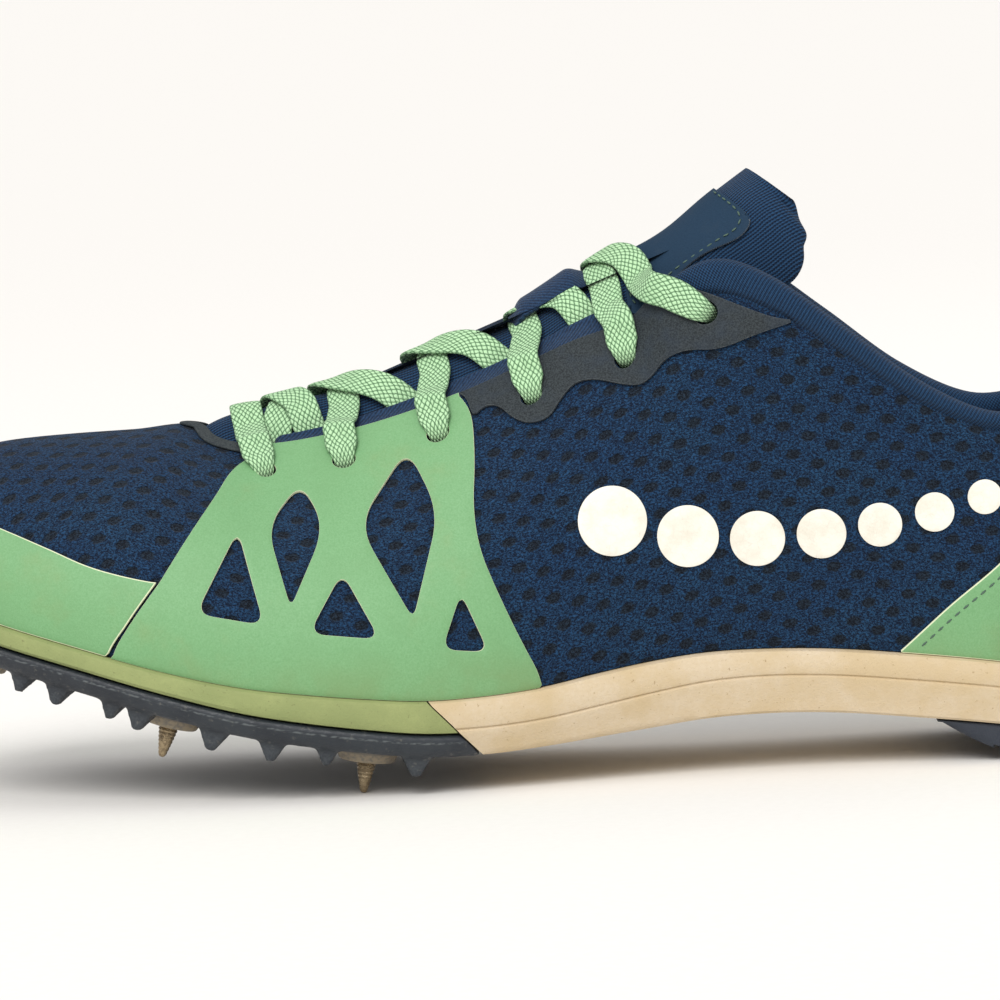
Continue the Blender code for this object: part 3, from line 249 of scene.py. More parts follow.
def ribs_at(turn):
    """The rib rows at any places of the turn, counted in rows."""
    turn = np.asarray(turn, float) % ROUND_COUNT
    total = RIB_KNOTS[-1]
    knots = np.concatenate([RIB_KNOTS[-1 - WRAP:-1] - total, RIB_KNOTS, RIB_KNOTS[1:1 + WRAP] + total])
    values = np.concatenate([RIB_TABLE[-1 - WRAP:-1], RIB_TABLE, RIB_TABLE[1:1 + WRAP]])
    at = np.interp(turn, np.arange(ROUND_COUNT + 1), RIB_KNOTS)
    rows = hermite(knots, values, at)
    gap = np.where(turn <= HEEL_ROW, np.minimum(rows[:, 3], 0.0), np.maximum(rows[:, 3], 0.0))
    closed = (turn <= THROAT_ROW) | (turn >= ROUND_COUNT - THROAT_ROW) | (turn == HEEL_ROW)
    rows[:, 3] = centre_y(rows[:, 2]) + np.where(closed, 0.0, gap)
    return rows


def outline_normal(turn):
    """Outward direction of the sole's outline, flat on the floor."""
    step = 0.05
    along = ribs_at(np.asarray(turn) + step)[:, :2] - ribs_at(np.asarray(turn) - step)[:, :2]
    along /= np.linalg.norm(along, axis=1)[:, None]
    return np.stack([along[:, 1], -along[:, 0]], axis=1)


def skin(turn, up):
    """Points of the last's outer surface: turn counts ribs, up goes 0 to 1 along a rib."""
    turn = np.atleast_1d(np.asarray(turn, float))
    up = np.broadcast_to(np.asarray(up, float), turn.shape)[:, None]
    rows = ribs_at(turn)
    out = outline_normal(turn)
    foot = np.column_stack([rows[:, 0], rows[:, 1], feather(rows[:, 0]) + GAP])
    top = rows[:, 2:5]
    chord = np.linalg.norm(top - foot, axis=1)
    lean = np.radians(rows[:, 5])
    slope = np.radians(rows[:, 6])
    first = foot + (rows[:, 7] * chord)[:, None] * np.column_stack(
        [out * np.sin(lean)[:, None], np.cos(lean)]
    )
    second = top + (rows[:, 8] * chord)[:, None] * np.column_stack(
        [out * np.cos(slope)[:, None], -np.sin(slope)]
    )
    down = 1 - up
    return down**3 * foot + 3 * down**2 * up * first + 3 * down * up**2 * second + up**3 * top


def skin_normal(turn, up):
    turn = np.atleast_1d(np.asarray(turn, float))
    up = np.clip(np.broadcast_to(np.asarray(up, float), turn.shape), 0.02, 0.985)
    step = 0.01
    round_way = skin(turn + step, up) - skin(turn - step, up)
    up_way = skin(turn, up + step) - skin(turn, up - step)
    normal = np.cross(up_way, round_way)
    normal /= np.linalg.norm(normal, axis=1)[:, None]
    middle = np.column_stack([skin(turn, 0.5)[:, 0], centre_y(skin(turn, 0.5)[:, 0])])
    outwards = np.sum((skin(turn, up)[:, :2] - middle) * normal[:, :2], axis=1) + normal[:, 2] * 0.01
    return normal * np.where(outwards < 0, -1.0, 1.0)[:, None]


RIB_SAMPLES = np.linspace(0, ROUND_COUNT, 441)


def measured_ribs():
    """Length of each rib, from the sole's edge up to the opening."""
    ups = np.linspace(0, 1, 25)
    lines = np.stack([skin(RIB_SAMPLES, u) for u in ups])
    return np.linalg.norm(np.diff(lines, axis=0), axis=2).sum(axis=0)


RIB_LENGTHS = measured_ribs()


def rib_length(turn):
    return np.interp(np.asarray(turn, float) % ROUND_COUNT, RIB_SAMPLES, RIB_LENGTHS)


# Mesh tools

def clear_selection():
    if bpy.context.object and bpy.context.object.mode != "OBJECT":
        bpy.ops.object.mode_set(mode="OBJECT")
    bpy.ops.object.select_all(action="DESELECT")


def only(obj):
    clear_selection()
    obj.select_set(True)
    bpy.context.view_layer.objects.active = obj


def name_it(obj, name):
    obj.name = name
    obj.data.name = name


def edit(obj, *steps):
    """Runs steps on the whole mesh in edit mode. A step is an operator and its settings."""
    only(obj)
    bpy.ops.object.mode_set(mode="EDIT")
    bpy.ops.mesh.select_all(action="SELECT")
    for operator, settings in steps:
        operator(**settings)
    bpy.ops.object.mode_set(mode="OBJECT")


OUTWARDS = (bpy.ops.mesh.normals_make_consistent, {"inside": False})
EVERYTHING = (bpy.ops.mesh.select_all, {"action": "SELECT"})
NOTHING = (bpy.ops.mesh.select_all, {"action": "DESELECT"})
FLIPPED = (bpy.ops.mesh.flip_normals, {})


def tidy_normals(obj, distance=2e-5):
    """Merges doubles and turns all faces outwards."""
    edit(obj, (bpy.ops.mesh.remove_doubles, {"threshold": distance}), OUTWARDS)


def read(items, title, width=3, kind=float):
    """One property of all the vertices, faces or corners, as an array."""
    values = np.zeros(len(items) * width, dtype=kind)
    items.foreach_get(title, values)
    return values.reshape(-1, width) if width > 1 else values


def from_faces(name, points, faces, finishes):
    """A mesh of its own from points and faces, in place of a plane primitive's."""
    clear_selection()
    bpy.ops.mesh.primitive_plane_add(size=1)
    obj = bpy.context.object
    name_it(obj, name)
    obj.data.clear_geometry()
    obj.data.from_pydata(np.asarray(points).tolist(), [], [tuple(face) for face in faces])
    for finish in finishes:
        obj.data.materials.append(finish)
    return obj


def lay_map(mesh, title, places):
    """Stores a place in millimetres for each vertex as a map of coordinates."""
    layer = mesh.uv_layers.get(title) or mesh.uv_layers.new(name=title)
    corner = read(mesh.loops, "vertex_index", 1, np.int32)
    layer.data.foreach_set("uv", places.reshape(-1, 2)[corner].astype(np.float32).ravel())


def smooth(obj, angle=40):
    only(obj)
    bpy.ops.object.shade_smooth_by_angle(angle=math.radians(angle))


def apply(obj, kind, **settings):
    """Adds one modifier, sets it and applies it."""
    change = obj.modifiers.new(kind.lower(), kind)
    for key, value in settings.items():
        setattr(change, key, value)
    only(obj)
    bpy.ops.object.modifier_apply(modifier=change.name)


def sheet(name, points, uv=None, second=None, finish=(), of_face=None):
    """A grid primitive that takes its shape from rows and columns of points. The maps uv and
    second are rows and columns of coordinates in millimetres."""
    rows, columns = points.shape[:2]
    clear_selection()
    bpy.ops.mesh.primitive_grid_add(x_subdivisions=columns - 1, y_subdivisions=rows - 1, size=1)
    obj = bpy.context.object
    name_it(obj, name)
    mesh = obj.data
    mesh.vertices.foreach_set("co", np.ascontiguousarray(points, dtype=np.float32).ravel())
    for title, grid in (("cloth", uv), ("band", second)):
        if grid is not None:
            lay_map(mesh, title, grid)
    for layer in [one for one in mesh.uv_layers if one.name not in ("cloth", "band")]:
        mesh.uv_layers.remove(layer)
    for one in finish:
        mesh.materials.append(one)
    if of_face is not None:
        mesh.polygons.foreach_set("material_index", np.asarray(of_face, dtype=np.int32).ravel())
    mesh.update()
    return obj


def drop_faces(obj, unwanted):
    """Deletes the faces that a row-and-column mask names."""
    edit(obj, (bpy.ops.mesh.select_mode, {"type": "FACE"}), NOTHING)
    obj.data.polygons.foreach_set("select", unwanted.ravel())
    bpy.ops.object.mode_set(mode="EDIT")
    bpy.ops.mesh.delete(type="FACE")
    bpy.ops.object.mode_set(mode="OBJECT")


def join(pieces, name):
    only(pieces[0])
    for piece in pieces:
        piece.select_set(True)
    bpy.ops.object.join()
    made = bpy.context.object
    name_it(made, name)
    return made


def settle(obj, slot, *nodes):
    """Fixes a finished piece to the shoe."""
    if nodes:
        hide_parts(*nodes)
    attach(obj, "root")
    return obj


def spline(points, spacing):
    """A smooth line through points, with even steps. Extra columns come along."""
    points = np.asarray(points, float)
    span = np.linalg.norm(np.diff(points[:, :3], axis=0), axis=1)
    knots = np.concatenate([[0.0], np.cumsum(np.maximum(span, 1e-6) ** 0.5)])
    fine = hermite(knots, points, np.linspace(0, knots[-1], 30 * len(points)))
    run = np.concatenate([[0.0], np.cumsum(np.linalg.norm(np.diff(fine[:, :3], axis=0), axis=1))])
    count = max(8, int(run[-1] / spacing))
    at = np.linspace(0, run[-1], count)
    return np.column_stack([np.interp(at, run, fine[:, k]) for k in range(fine.shape[1])]), at


STRAP_DISH = 0.28  # share of its thickness that a strap loses at its edges


def flat_strap(name, line, finish, spacing=0.0007, power=4.0, around=16):
    """A flat band along a line. Columns of the line: place, surface normal, width, thickness."""
    track, run = spline(line, spacing)
    spots = track[:, :3]
    ahead = np.gradient(spots, axis=0)
    wide = np.cross(ahead, track[:, 3:6])
    wide /= np.linalg.norm(wide, axis=1)[:, None]
    lift = np.cross(wide, ahead)
    lift /= np.linalg.norm(lift, axis=1)[:, None]
    lift *= np.sign(np.sum(lift * track[:, 3:6], axis=1))[:, None]
    turns = np.linspace(0, 2 * np.pi, around + 1)
    across = np.sign(np.cos(turns)) * np.abs(np.cos(turns)) ** (2 / power)
    high = np.sign(np.sin(turns)) * np.abs(np.sin(turns)) ** (2 / power)
    sag = 1 - STRAP_DISH * across**2
    points = (
        spots[:, None]
        + wide[:, None] * (across[None, :, None] * track[:, None, 6:7] / 2)
        + lift[:, None] * ((high * sag)[None, :, None] * track[:, None, 7:8] / 2)
    )
    middle = points.mean(axis=1)
    ends = [np.repeat(middle[k][None, None], around + 1, axis=1) for k in (0, -1)]
    points = np.concatenate([ends[0], points, ends[1]])
    run = np.concatenate([[run[0]], run, [run[-1]]])
    uv = np.zeros(points.shape[:2] + (2,))
    uv[..., 0] = across[None] * LACE_WIDTH * 500
    uv[..., 1] = run[:, None] * MM
    made = sheet(name, points, uv, finish=[finish])
    tidy_normals(made, 1e-5)
    smooth(made, 60)
    return made


# Places on the last

class Side:
    """Finds the place on one side of the last that a point of the side view stands for."""

    def __init__(self, side):
        self.side = side
        turns = np.linspace(0, HEEL_ROW, 45 * 8 + 1)
        if side > 0:
            turns = ROUND_COUNT - turns
        ups = np.linspace(0, 1, 101)
        self.turns = np.repeat(turns[:, None], len(ups), axis=1).ravel()
        self.ups = np.repeat(ups[None], len(turns), axis=0).ravel()
        points = skin(self.turns, self.ups)
        self.flat = points[:, (0, 2)]

    def find(self, spots):
        """Turn and up of side view points. Those beyond the last come to its edge."""
        spots = np.asarray(spots, float)
        found = np.zeros((len(spots), 2))
        for index, spot in enumerate(spots):
            nearest = int(np.argmin(((self.flat - spot) ** 2).sum(axis=1)))
            found[index] = self.turns[nearest], self.ups[nearest]
        low, high = (0, HEEL_ROW) if self.side < 0 else (HEEL_ROW, ROUND_COUNT)
        for _ in range(4):
            turn, up = found[:, 0], found[:, 1]
            here = skin(turn, up)[:, (0, 2)]
            by_turn = (skin(turn + 0.02, up)[:, (0, 2)] - here) / 0.02
            by_up = (skin(turn, up - 0.01)[:, (0, 2)] - here) / -0.01
            miss = spots - here
            base = by_turn[:, 0] * by_up[:, 1] - by_up[:, 0] * by_turn[:, 1]
            base = np.where(np.abs(base) < 1e-9, 1e-9, base)
            step_turn = (miss[:, 0] * by_up[:, 1] - by_up[:, 0] * miss[:, 1]) / base
            step_up = (by_turn[:, 0] * miss[:, 1] - miss[:, 0] * by_turn[:, 1]) / base
            inside = (up > 0.004) & (up < 0.996)
            found[:, 0] += np.where(inside, np.clip(step_turn, -0.06, 0.06), 0)
            found[:, 1] += np.where(inside, np.clip(step_up, -0.01, 0.01), 0)
            found[:, 0] = np.clip(found[:, 0], low, high)
            found[:, 1] = np.clip(found[:, 1], 0, 1)
        return found


SIDES = {-1: Side(-1), 1: Side(1)}


def side_view(outline):
    """An outline's shares turned into metres, with its corner radius in a third column."""
    rows = []
    for row in outline:
        rows.append((float(world_x(row[0])), row[1] * UPPER_HEIGHT, row[2] if len(row) > 2 else 0.0022))
    return np.array(rows)


def rounded_loop(corners, pace=0.0010):
    """A closed outline whose corners are arcs, with points a small pace apart."""
    made = []
    count = len(corners)
    for index, corner in enumerate(corners):
        spot, reach = corner[:2], corner[2]
        before = corners[index - 1][:2] - spot
        after = corners[(index + 1) % count][:2] - spot
        back = min(reach, np.linalg.norm(before) * 0.48)
        on = min(reach, np.linalg.norm(after) * 0.48)
        first = spot + before / np.linalg.norm(before) * back
        last = spot + after / np.linalg.norm(after) * on
        for t in np.linspace(0, 1, 9):
            made.append((1 - t) ** 2 * first + 2 * t * (1 - t) * spot + t * t * last)
    made = np.array(made)
    closed = np.concatenate([made, made[:1]])
    run = np.concatenate([[0.0], np.cumsum(np.linalg.norm(np.diff(closed, axis=0), axis=1))])
    at = np.linspace(0, run[-1], max(12, int(run[-1] / pace)), endpoint=False)
    return np.column_stack([np.interp(at, run, closed[:, k]) for k in range(2)])


def on_side(outline, side, pace=0.0010):
    """An outline of the side view as turns and ups, for one side of the shoe."""
    line = rounded_loop(side_view(outline), pace)
    line[:, 1] = np.maximum(line[:, 1], feather(line[:, 0]) + GAP - 0.0002)
    found = SIDES[side].find(line)
    keep = [0]
    for index in range(1, len(found)):
        step = (found[index] - found[keep[-1]]) * (17.0, 90.0)
        if np.linalg.norm(step) > 0.25:
            keep.append(index)
    return found[keep]


def inside(points, loop):
    """Which points lie in a closed loop."""
    x, y = points[:, 0], points[:, 1]
    result = np.zeros(len(points), bool)
    x1, y1 = loop[:, 0], loop[:, 1]
    x2, y2 = np.roll(x1, -1), np.roll(y1, -1)
    for ax, ay, bx, by in zip(x1, y1, x2, y2):
        if ay == by:
            continue
        crosses = ((ay > y) != (by > y)) & (x < (bx - ax) * (y - ay) / (by - ay) + ax)
        result ^= crosses
    return result


TURN_SCALE = 17.0
UP_SCALE = 95.0


def patch(name, loop, holes, finish, rim, height=GAP, thick=0.0007, pace=1.5, bevel=0.00028):
    """A thin layer on the last inside a loop of turns and ups, with holes."""
    scale = np.array([TURN_SCALE, UP_SCALE])
    loops = [loop * scale] + [hole * scale for hole in holes]
    low, high = loops[0].min(axis=0), loops[0].max(axis=0)
    grid = np.stack(np.meshgrid(
        np.arange(low[0], high[0], pace), np.arange(low[1], high[1], pace), indexing="ij"
    ), axis=-1).reshape(-1, 2)
    fits = inside(grid, loops[0])
    for hole in loops[1:]:
        fits &= ~inside(grid, hole)
    for ring in loops:
        closed = np.concatenate([ring, ring[:1]])
        for index in range(len(ring)):
            fits &= ((grid - closed[index]) ** 2).sum(axis=1) > (0.6 * pace) ** 2
    grid = grid[fits]
    points, edges = [], []
    for ring in loops:
        base = len(points)
        points += [tuple(p) for p in ring]
        edges += [(base + i, base + (i + 1) % len(ring)) for i in range(len(ring))]
    points += [tuple(p) for p in grid]
    made = delaunay_2d_cdt([Vector(p) for p in points], edges, [], 0, 1e-5)
    flat = np.array([tuple(v) for v in made[0]])
    faces = np.array([f for f in made[2] if len(f) == 3])
    middle = flat[faces].mean(axis=1)
    keep = inside(middle, loops[0])
    for hole in loops[1:]:
        keep &= ~inside(middle, hole)
    faces = faces[keep]
    turn, up = flat[:, 0] / TURN_SCALE, flat[:, 1] / UP_SCALE
    spots = skin(turn % ROUND_COUNT, up) + skin_normal(turn % ROUND_COUNT, up) * height
    obj = from_faces(name, spots, faces, (finish, rim))
    lay_map(obj.data, "cloth", cloth_place(turn % ROUND_COUNT, up, spots))
    edit(obj, (bpy.ops.mesh.delete_loose, {}), OUTWARDS)
    centre = read(obj.data.polygons, "center")
    normal = read(obj.data.polygons, "normal")
    if (centre[:, 1] * normal[:, 1] + normal[:, 2] * 0.02).sum() < 0:
        edit(obj, FLIPPED)
    # The rim and bevel faces take the second finish. For the glued layers it is a paler cut edge, partly a
    # painted highlight along the edge.
    apply(obj, "SOLIDIFY", thickness=thick, offset=1.0, material_offset_rim=1, use_even_offset=False)
    if bevel:
        apply(obj, "BEVEL", width=bevel, segments=2, limit_method="ANGLE",
              angle_limit=math.radians(50), material=1)
    smooth(obj, 40)
    return obj


SIDE_SHIFT = 3.1  # millimetres by which the mesh pattern of one side is moved up


def cloth_place(turn, up, spots):
    """Where the mesh pattern lies: along the shoe and up its side, in millimetres."""
    turn, up = np.asarray(turn, float), np.asarray(up, float)
    rise = rib_length(turn) * up
    folded = np.minimum(turn, ROUND_COUNT - turn)
    ridge = rib_length(np.full(1, float(THROAT_ROW)))[0]
    top_z = np.interp(spots[:, 0], RIDGE_X, RIDGE_Z)
    from_ridge = np.hypot(spots[:, 1] - centre_y(spots[:, 0]), top_z - spots[:, 2])
    toe = smooth_step((THROAT_ROW + 0.5 - folded) / 2.5)
    side = np.where(turn > HEEL_ROW, 1.0, 0.0)
    high = rise * (1 - toe) + (ridge - 1.06 * from_ridge) * toe
    return np.column_stack([spots[:, 0] * MM, high * MM + side * SIDE_SHIFT])


RIDGE = skin(np.linspace(0, THROAT_ROW, 40), 1.0)
RIDGE_X = np.concatenate([[RIDGE[0, 0] - 0.04], RIDGE[:, 0], [RIDGE[-1, 0] + 0.02]])
RIDGE_Z = np.concatenate([[RIDGE[0, 2] - 0.02], RIDGE[:, 2], [RIDGE[-1, 2]]])


def crease_height(x):
    share = 0.50 + 0.11 * smooth_step((share_of(x) - 0.50) / 0.20)
    return underside(x) + (feather(x) - underside(x)) * share


def plate_top(x):
    return underside(x) + PLATE_THICKNESS


def joint_plane():
    """The slanted joint between front and rear midsole: a point on it and its normal."""
    top = Vector((world_x(JOINT_TOP), 0.0, float(feather(world_x(JOINT_TOP)))))
    foot = Vector((world_x(JOINT_FOOT), 0.0, float(underside(world_x(JOINT_FOOT)))))
    along = (foot - top).normalized()
    return top, Vector((-along.z, 0.0, along.x))


# Teeth on the plate's rim: place along the length and size against the full tooth
OUTER_TEETH = (
    (0.060, 0.75), (0.095, 0.80), (0.127, 0.85), (0.155, 0.95), (0.196, 0.85), (0.217, 1.00),
    (0.272, 1.05), (0.316, 1.00), (0.357, 0.85), (0.424, 1.05),
)
INNER_TEETH = (
    (0.060, 0.75), (0.095, 0.80), (0.127, 0.90), (0.157, 0.95), (0.190, 0.90), (0.270, 1.00),
    (0.312, 1.00), (0.352, 0.90), (0.424, 1.00),
)
# Lugs under the plate, away from its rim: place along the length and across the shoe
INNER_LUGS = (
    (0.085, 0.05), (0.150, -0.10), (0.150, 0.20), (0.215, 0.04), (0.285, -0.14),
    (0.285, 0.18), (0.345, 0.02), (0.420, -0.16), (0.420, 0.14),
)
# Six pins: place along the length and share of the half width
PINS = (
    (0.095, -0.50), (0.095, 0.62),
    (0.240, -0.66), (0.240, 0.70),
    (REAR_PIN, -0.70), (REAR_PIN, 0.68),
)


def outline_turn_at(share, side):
    """The turn at which the outline of one side reaches a place along the length."""
    low, high = 0.0, float(HEEL_ROW)
    for _ in range(30):
        middle = (low + high) / 2
        turn = middle if side < 0 else ROUND_COUNT - middle
        if share_of(ribs_at([turn])[0, 0]) < share:
            low = middle
        else:
            high = middle
    return low if side < 0 else ROUND_COUNT - low


def half_width(share, side):
    return abs(ribs_at([outline_turn_at(share, side)])[0, 1])


def sole_frame(share, y):
    """A frame on the plate's underside: X along the sole, Z out of it, downwards."""
    step = 0.01
    ahead = Vector((world_x(share - step), 0.0, float(underside(world_x(share - step)))))
    behind = Vector((world_x(share + step), 0.0, float(underside(world_x(share + step)))))
    along = (behind - ahead).normalized()
    down = Vector((along.z, 0.0, -along.x))
    across = down.cross(along)
    spot = Vector((world_x(share), y, float(underside(world_x(share)))))
    return Matrix.LocRotScale(spot, Matrix((along, across, down)).transposed(), None)


# The heel pad is flat where it rests, and its grooves run across

PAD_GROOVES = (0.862, 0.888, 0.956)
PAD_GROOVE_WIDTH = 0.0022
PAD_GROOVE_DEPTH = 0.0016
PAD_FLAT_FROM = 0.900
PAD_FLAT_TO = 0.952
PAD_REAR_LIFT = 0.0045
PAD_THINNEST = 0.0006


def pad_bottom(x):
    share = share_of(x)
    top = underside(x) - GAP
    ahead = top * np.clip((PAD_FLAT_FROM - share) / (PAD_FLAT_FROM - PAD_START), 0, 1) ** 1.5
    past = (share - PAD_FLAT_TO) / (PAD_END + 0.012 - PAD_FLAT_TO)
    behind = PAD_REAR_LIFT * np.clip(past, 0, 1) ** 2
    return np.minimum(ahead + behind, top - PAD_THINNEST)


# The upper: one sheet with a wall, a padded collar and twelve eyelet holes

COLUMNS = 440
GROOVE_AT = (
    (0.0, 7.0), (12.5, 7.0), (13.5, 7.6), (14.5, 8.2), (15.5, 7.4), (16.5, 5.8), (17.5, 4.4),
    (19.0, 4.0), (22.0, 4.4),
)
RIM_STEPS = 9
EYELET_HOLE = 0.0025
ROLL_HEIGHT = 0.0013
SEAM_DEPTH = 0.0007
SEAM_SPREAD = 0.0007
BELOW_HEIGHT = 0.0004
BELOW_DROP = 0.0030
BELOW_SPREAD = 0.0022


def groove_depth(turn):
    folded = np.minimum(turn, ROUND_COUNT - turn)
    return hermite([row[0] for row in GROOVE_AT], [row[1] for row in GROOVE_AT], folded) / MM


def collar_bulge(depth, groove, padding):
    """How far the outer side stands out: the padded roll, its seam and the cloth below it."""
    share = np.clip(depth / groove, 0, 1)
    roll = ROLL_HEIGHT * np.sin(np.pi * share**0.85) ** 0.7
    seam = -SEAM_DEPTH * np.exp(-(((depth - groove) / SEAM_SPREAD) ** 2))
    below = BELOW_HEIGHT * np.exp(-(((depth - groove - BELOW_DROP) / BELOW_SPREAD) ** 2))
    return padding * (np.where(depth < groove, roll, 0.0) + seam + below)


def build_upper():
    turns = np.linspace(0, ROUND_COUNT, COLUMNS + 1)
    turns[-1] = 0.0
    length = rib_length(turns)
    padding = np.clip(ribs_at(turns)[:, -1], 0, 1)
    folded = np.minimum(turns, ROUND_COUNT - turns)
    opened = smooth_step((folded - THROAT_ROW) / 0.35)
    groove = groove_depth(turns)

    def wall(depth):
        up = 1 - depth / length
        return WALL + (COLLAR_WALL - WALL) * padding * smooth_step((up - 0.45) / 0.40)

    rim = wall(0) / 2 * opened
    near = np.minimum(0.0115, 0.35 * length)
    depths, offsets, parts = [], [], []
    for t in np.linspace(0, 1, 34)[:-1]:
        depth = length + (near - length) * t
        depths.append(depth)
        offsets.append(collar_bulge(depth, groove, padding))
        parts.append(0)
    for t in np.linspace(0, 1, 22)[:-1]:
        depth = near + (rim - near) * t
        depths.append(depth)
        offsets.append(collar_bulge(depth, groove, padding))
        parts.append(1)
    for t in np.linspace(0, np.pi, RIM_STEPS):
        depths.append(rim * (1 - np.sin(t)))
        start = collar_bulge(rim, groove, padding)
        offsets.append(start * (1 + np.cos(t)) / 2 - wall(0) * (1 - np.cos(t)) / 2)
        parts.append(2)
    for t in np.linspace(0, 1, 22)[1:]:
        depth = rim + (length * 0.30 - rim) * t
        depths.append(depth)
        offsets.append(-wall(depth))
        parts.append(3)
    for t in np.linspace(0, 1, 16)[1:]:
        depth = length * (0.30 + 0.70 * t)
        depths.append(depth)
        offsets.append(-wall(depth))
        parts.append(4)
    depths, offsets, parts = np.array(depths), np.array(offsets), np.array(parts)
    rows = len(depths)
    ups = 1 - depths / length
    flat_turn = np.repeat(turns[None], rows, axis=0).ravel()
    base = skin(flat_turn, ups.ravel())
    normal = skin_normal(flat_turn, ups.ravel())
    closed = np.repeat((folded <= THROAT_ROW + 1e-9)[None], rows, axis=0).ravel()
    top = closed & (depths.ravel() < 1e-9)
    normal[top] = (0.0, 0.0, 1.0)
    points = (base + normal * offsets.ravel()[:, None]).reshape(rows, -1, 3)
    place = cloth_place(flat_turn, ups.ravel(), base).reshape(rows, -1, 2)
    round_edge = np.linalg.norm(np.diff(skin(turns, 1.0), axis=0), axis=1)
    arc = np.concatenate([[0.0], np.cumsum(round_edge)]) * MM
    band = np.zeros_like(place)
    band[..., 0] = arc[None]
    steps = np.linalg.norm(np.diff(points, axis=0), axis=2)
    run = np.concatenate([np.zeros((1, len(turns))), np.cumsum(steps, axis=0)]) * MM
    at_edge = np.argmax(parts == 2)
    band[..., 1] = run - run[at_edge][None]
    under = outline_normal(turns)
    margins = points[[0, -1]].copy()
    margins[..., :2] -= under * LASTING_MARGIN
    points = np.concatenate([margins[:1], points, margins[1:]])
    place = np.concatenate([place[:1], place, place[-1:]])
    band = np.concatenate([band[:1], band, band[-1:]])
    parts = np.concatenate([[0], parts, [4]])
    face_part = parts[:-1]
    padded = padding[:-1] > 0.35
    depth_rows = np.concatenate([depths[:1], depths, depths[-1:]])[1:]
    above = depth_rows[:, :-1] < groove[None, :-1]
    of_face = np.zeros((len(face_part), COLUMNS), int)
    of_face[(face_part == 1)[:, None] & above & padded[None]] = 1
    of_face[face_part == 2] = 1
    of_face[face_part >= 3] = 2
    upper = sheet(
        "dressed_upper", points, place, band,
        [mesh_cloth(), collar_knit(), lining_cloth()], of_face,
    )
    rim_face = face_part == 2
    shut = (folded[:-1] < THROAT_ROW) & (folded[1:] <= THROAT_ROW + 1e-9) | (
        (folded[1:] < THROAT_ROW) & (folded[:-1] <= THROAT_ROW + 1e-9)
    )
    last_rim = np.where(parts == 2)[0].max()
    rim_face[last_rim:] = False
    drop_faces(upper, (rim_face[:, None] & shut[None]))
    tidy_normals(upper, 4e-5)
    cut_holes(upper)
    smooth(upper, 50)
    return settle(upper, "mesh_navy", "upper")


def cut_holes(obj):
    """Cuts the twelve eyelet holes straight through."""
    cutters = []
    for side in (-1, 1):
        for eyelet in EYELETS:
            spot, normal = eyelet_spot(eyelet, side)
            clear_selection()
            bpy.ops.mesh.primitive_cylinder_add(
                vertices=28, radius=EYELET_HOLE, depth=0.014, location=spot,
                rotation=normal.to_track_quat("Z", "Y").to_euler(),
            )
            bpy.ops.object.transform_apply(location=True, rotation=True, scale=True)
            cutters.append(bpy.context.object)
    cutter = join(cutters, "eyelet_cutter")
    apply(obj, "BOOLEAN", operation="DIFFERENCE", solver="EXACT", object=cutter)
    bpy.data.objects.remove(cutter, do_unlink=True)


# Glued layers on the upper. Columns: place along the length, height, radius of the corner

SOFT = 0.03
SEAM = ((0.2360, 0.480, 0.004), (0.2136, 0.399, SOFT), (0.1962, 0.322, SOFT), (0.1942, 0.150, SOFT))
RAND_TOP = (
    (-0.02, 0.725), (0.020, 0.704), (0.070, 0.648), (0.119, 0.597), (0.156, 0.553),
    (0.185, 0.517), (0.211, 0.495), (0.2365, 0.479), (0.260, 0.470),
)
CAGE_EDGE = (
    (0.2385, 0.480, 0.001), (0.2610, 0.572, SOFT), (0.2810, 0.645, SOFT), (0.2885, 0.678, SOFT),
    (0.2960, 0.698, SOFT), (0.3060, 0.712, SOFT), (0.3200, 0.735, SOFT), (0.3260, 0.820, 0.001),
    (0.4300, 0.930, 0.003), (0.4500, 0.856, SOFT), (0.4640, 0.836, SOFT), (0.4735, 0.806, SOFT),
    (0.4768, 0.773, SOFT), (0.4766, 0.688, SOFT), (0.4735, 0.603, SOFT), (0.4762, 0.517, SOFT),
    (0.4875, 0.430, SOFT), (0.5039, 0.320, SOFT), (0.5207, 0.222, SOFT), (0.5240, -0.057, 0.001),
    (0.1955, -0.057, 0.001), (0.1955, 0.150, SOFT), (0.1975, 0.322, SOFT), (0.2150, 0.397, SOFT),
)
OPENINGS = (
    ((0.3446, 0.660, 0.0040), (0.3625, 0.573, 0.0060), (0.3347, 0.415, 0.0022), (0.3185, 0.579, 0.0050)),
    ((0.4263, 0.722, 0.0050), (0.4480, 0.594, 0.0060), (0.4249, 0.379, 0.0024), (0.3870, 0.574, 0.0060)),
    ((0.2968, 0.575, 0.0034), (0.3146, 0.383, 0.0036), (0.2645, 0.413, 0.0036)),
    ((0.3737, 0.482, 0.0036), (0.3997, 0.342, 0.0036), (0.3473, 0.361, 0.0036)),
    ((0.4611, 0.428, 0.0030), (0.4795, 0.302, 0.0032), (0.4450, 0.313, 0.0032)),
)
EYESTAY_EDGE = (
    (0.4765, 0.781, SOFT), (0.4860, 0.806, SOFT), (0.4968, 0.806, SOFT), (0.5060, 0.780, SOFT),
    (0.5180, 0.766, SOFT), (0.5340, 0.776, SOFT), (0.5450, 0.822, SOFT), (0.5560, 0.852, SOFT),
    (0.5720, 0.855, SOFT), (0.5874, 0.843, SOFT), (0.6040, 0.838, SOFT), (0.6140, 0.860, SOFT),
    (0.6240, 0.898, SOFT), (0.6407, 0.915, SOFT), (0.6632, 0.911, SOFT), (0.6937, 0.945, SOFT),
    (0.7240, 0.968, 0.004), (0.7050, 0.975, SOFT), (0.6800, 1.005, SOFT), (0.6560, 1.035, SOFT),
    (0.6380, 1.050, SOFT), (0.6250, 1.085, 0.002), (0.6050, 1.040, 0.002), (0.4640, 0.969, 0.002),
    (0.4560, 0.870, 0.001), (0.4660, 0.842, SOFT), (0.4740, 0.816, SOFT),
)
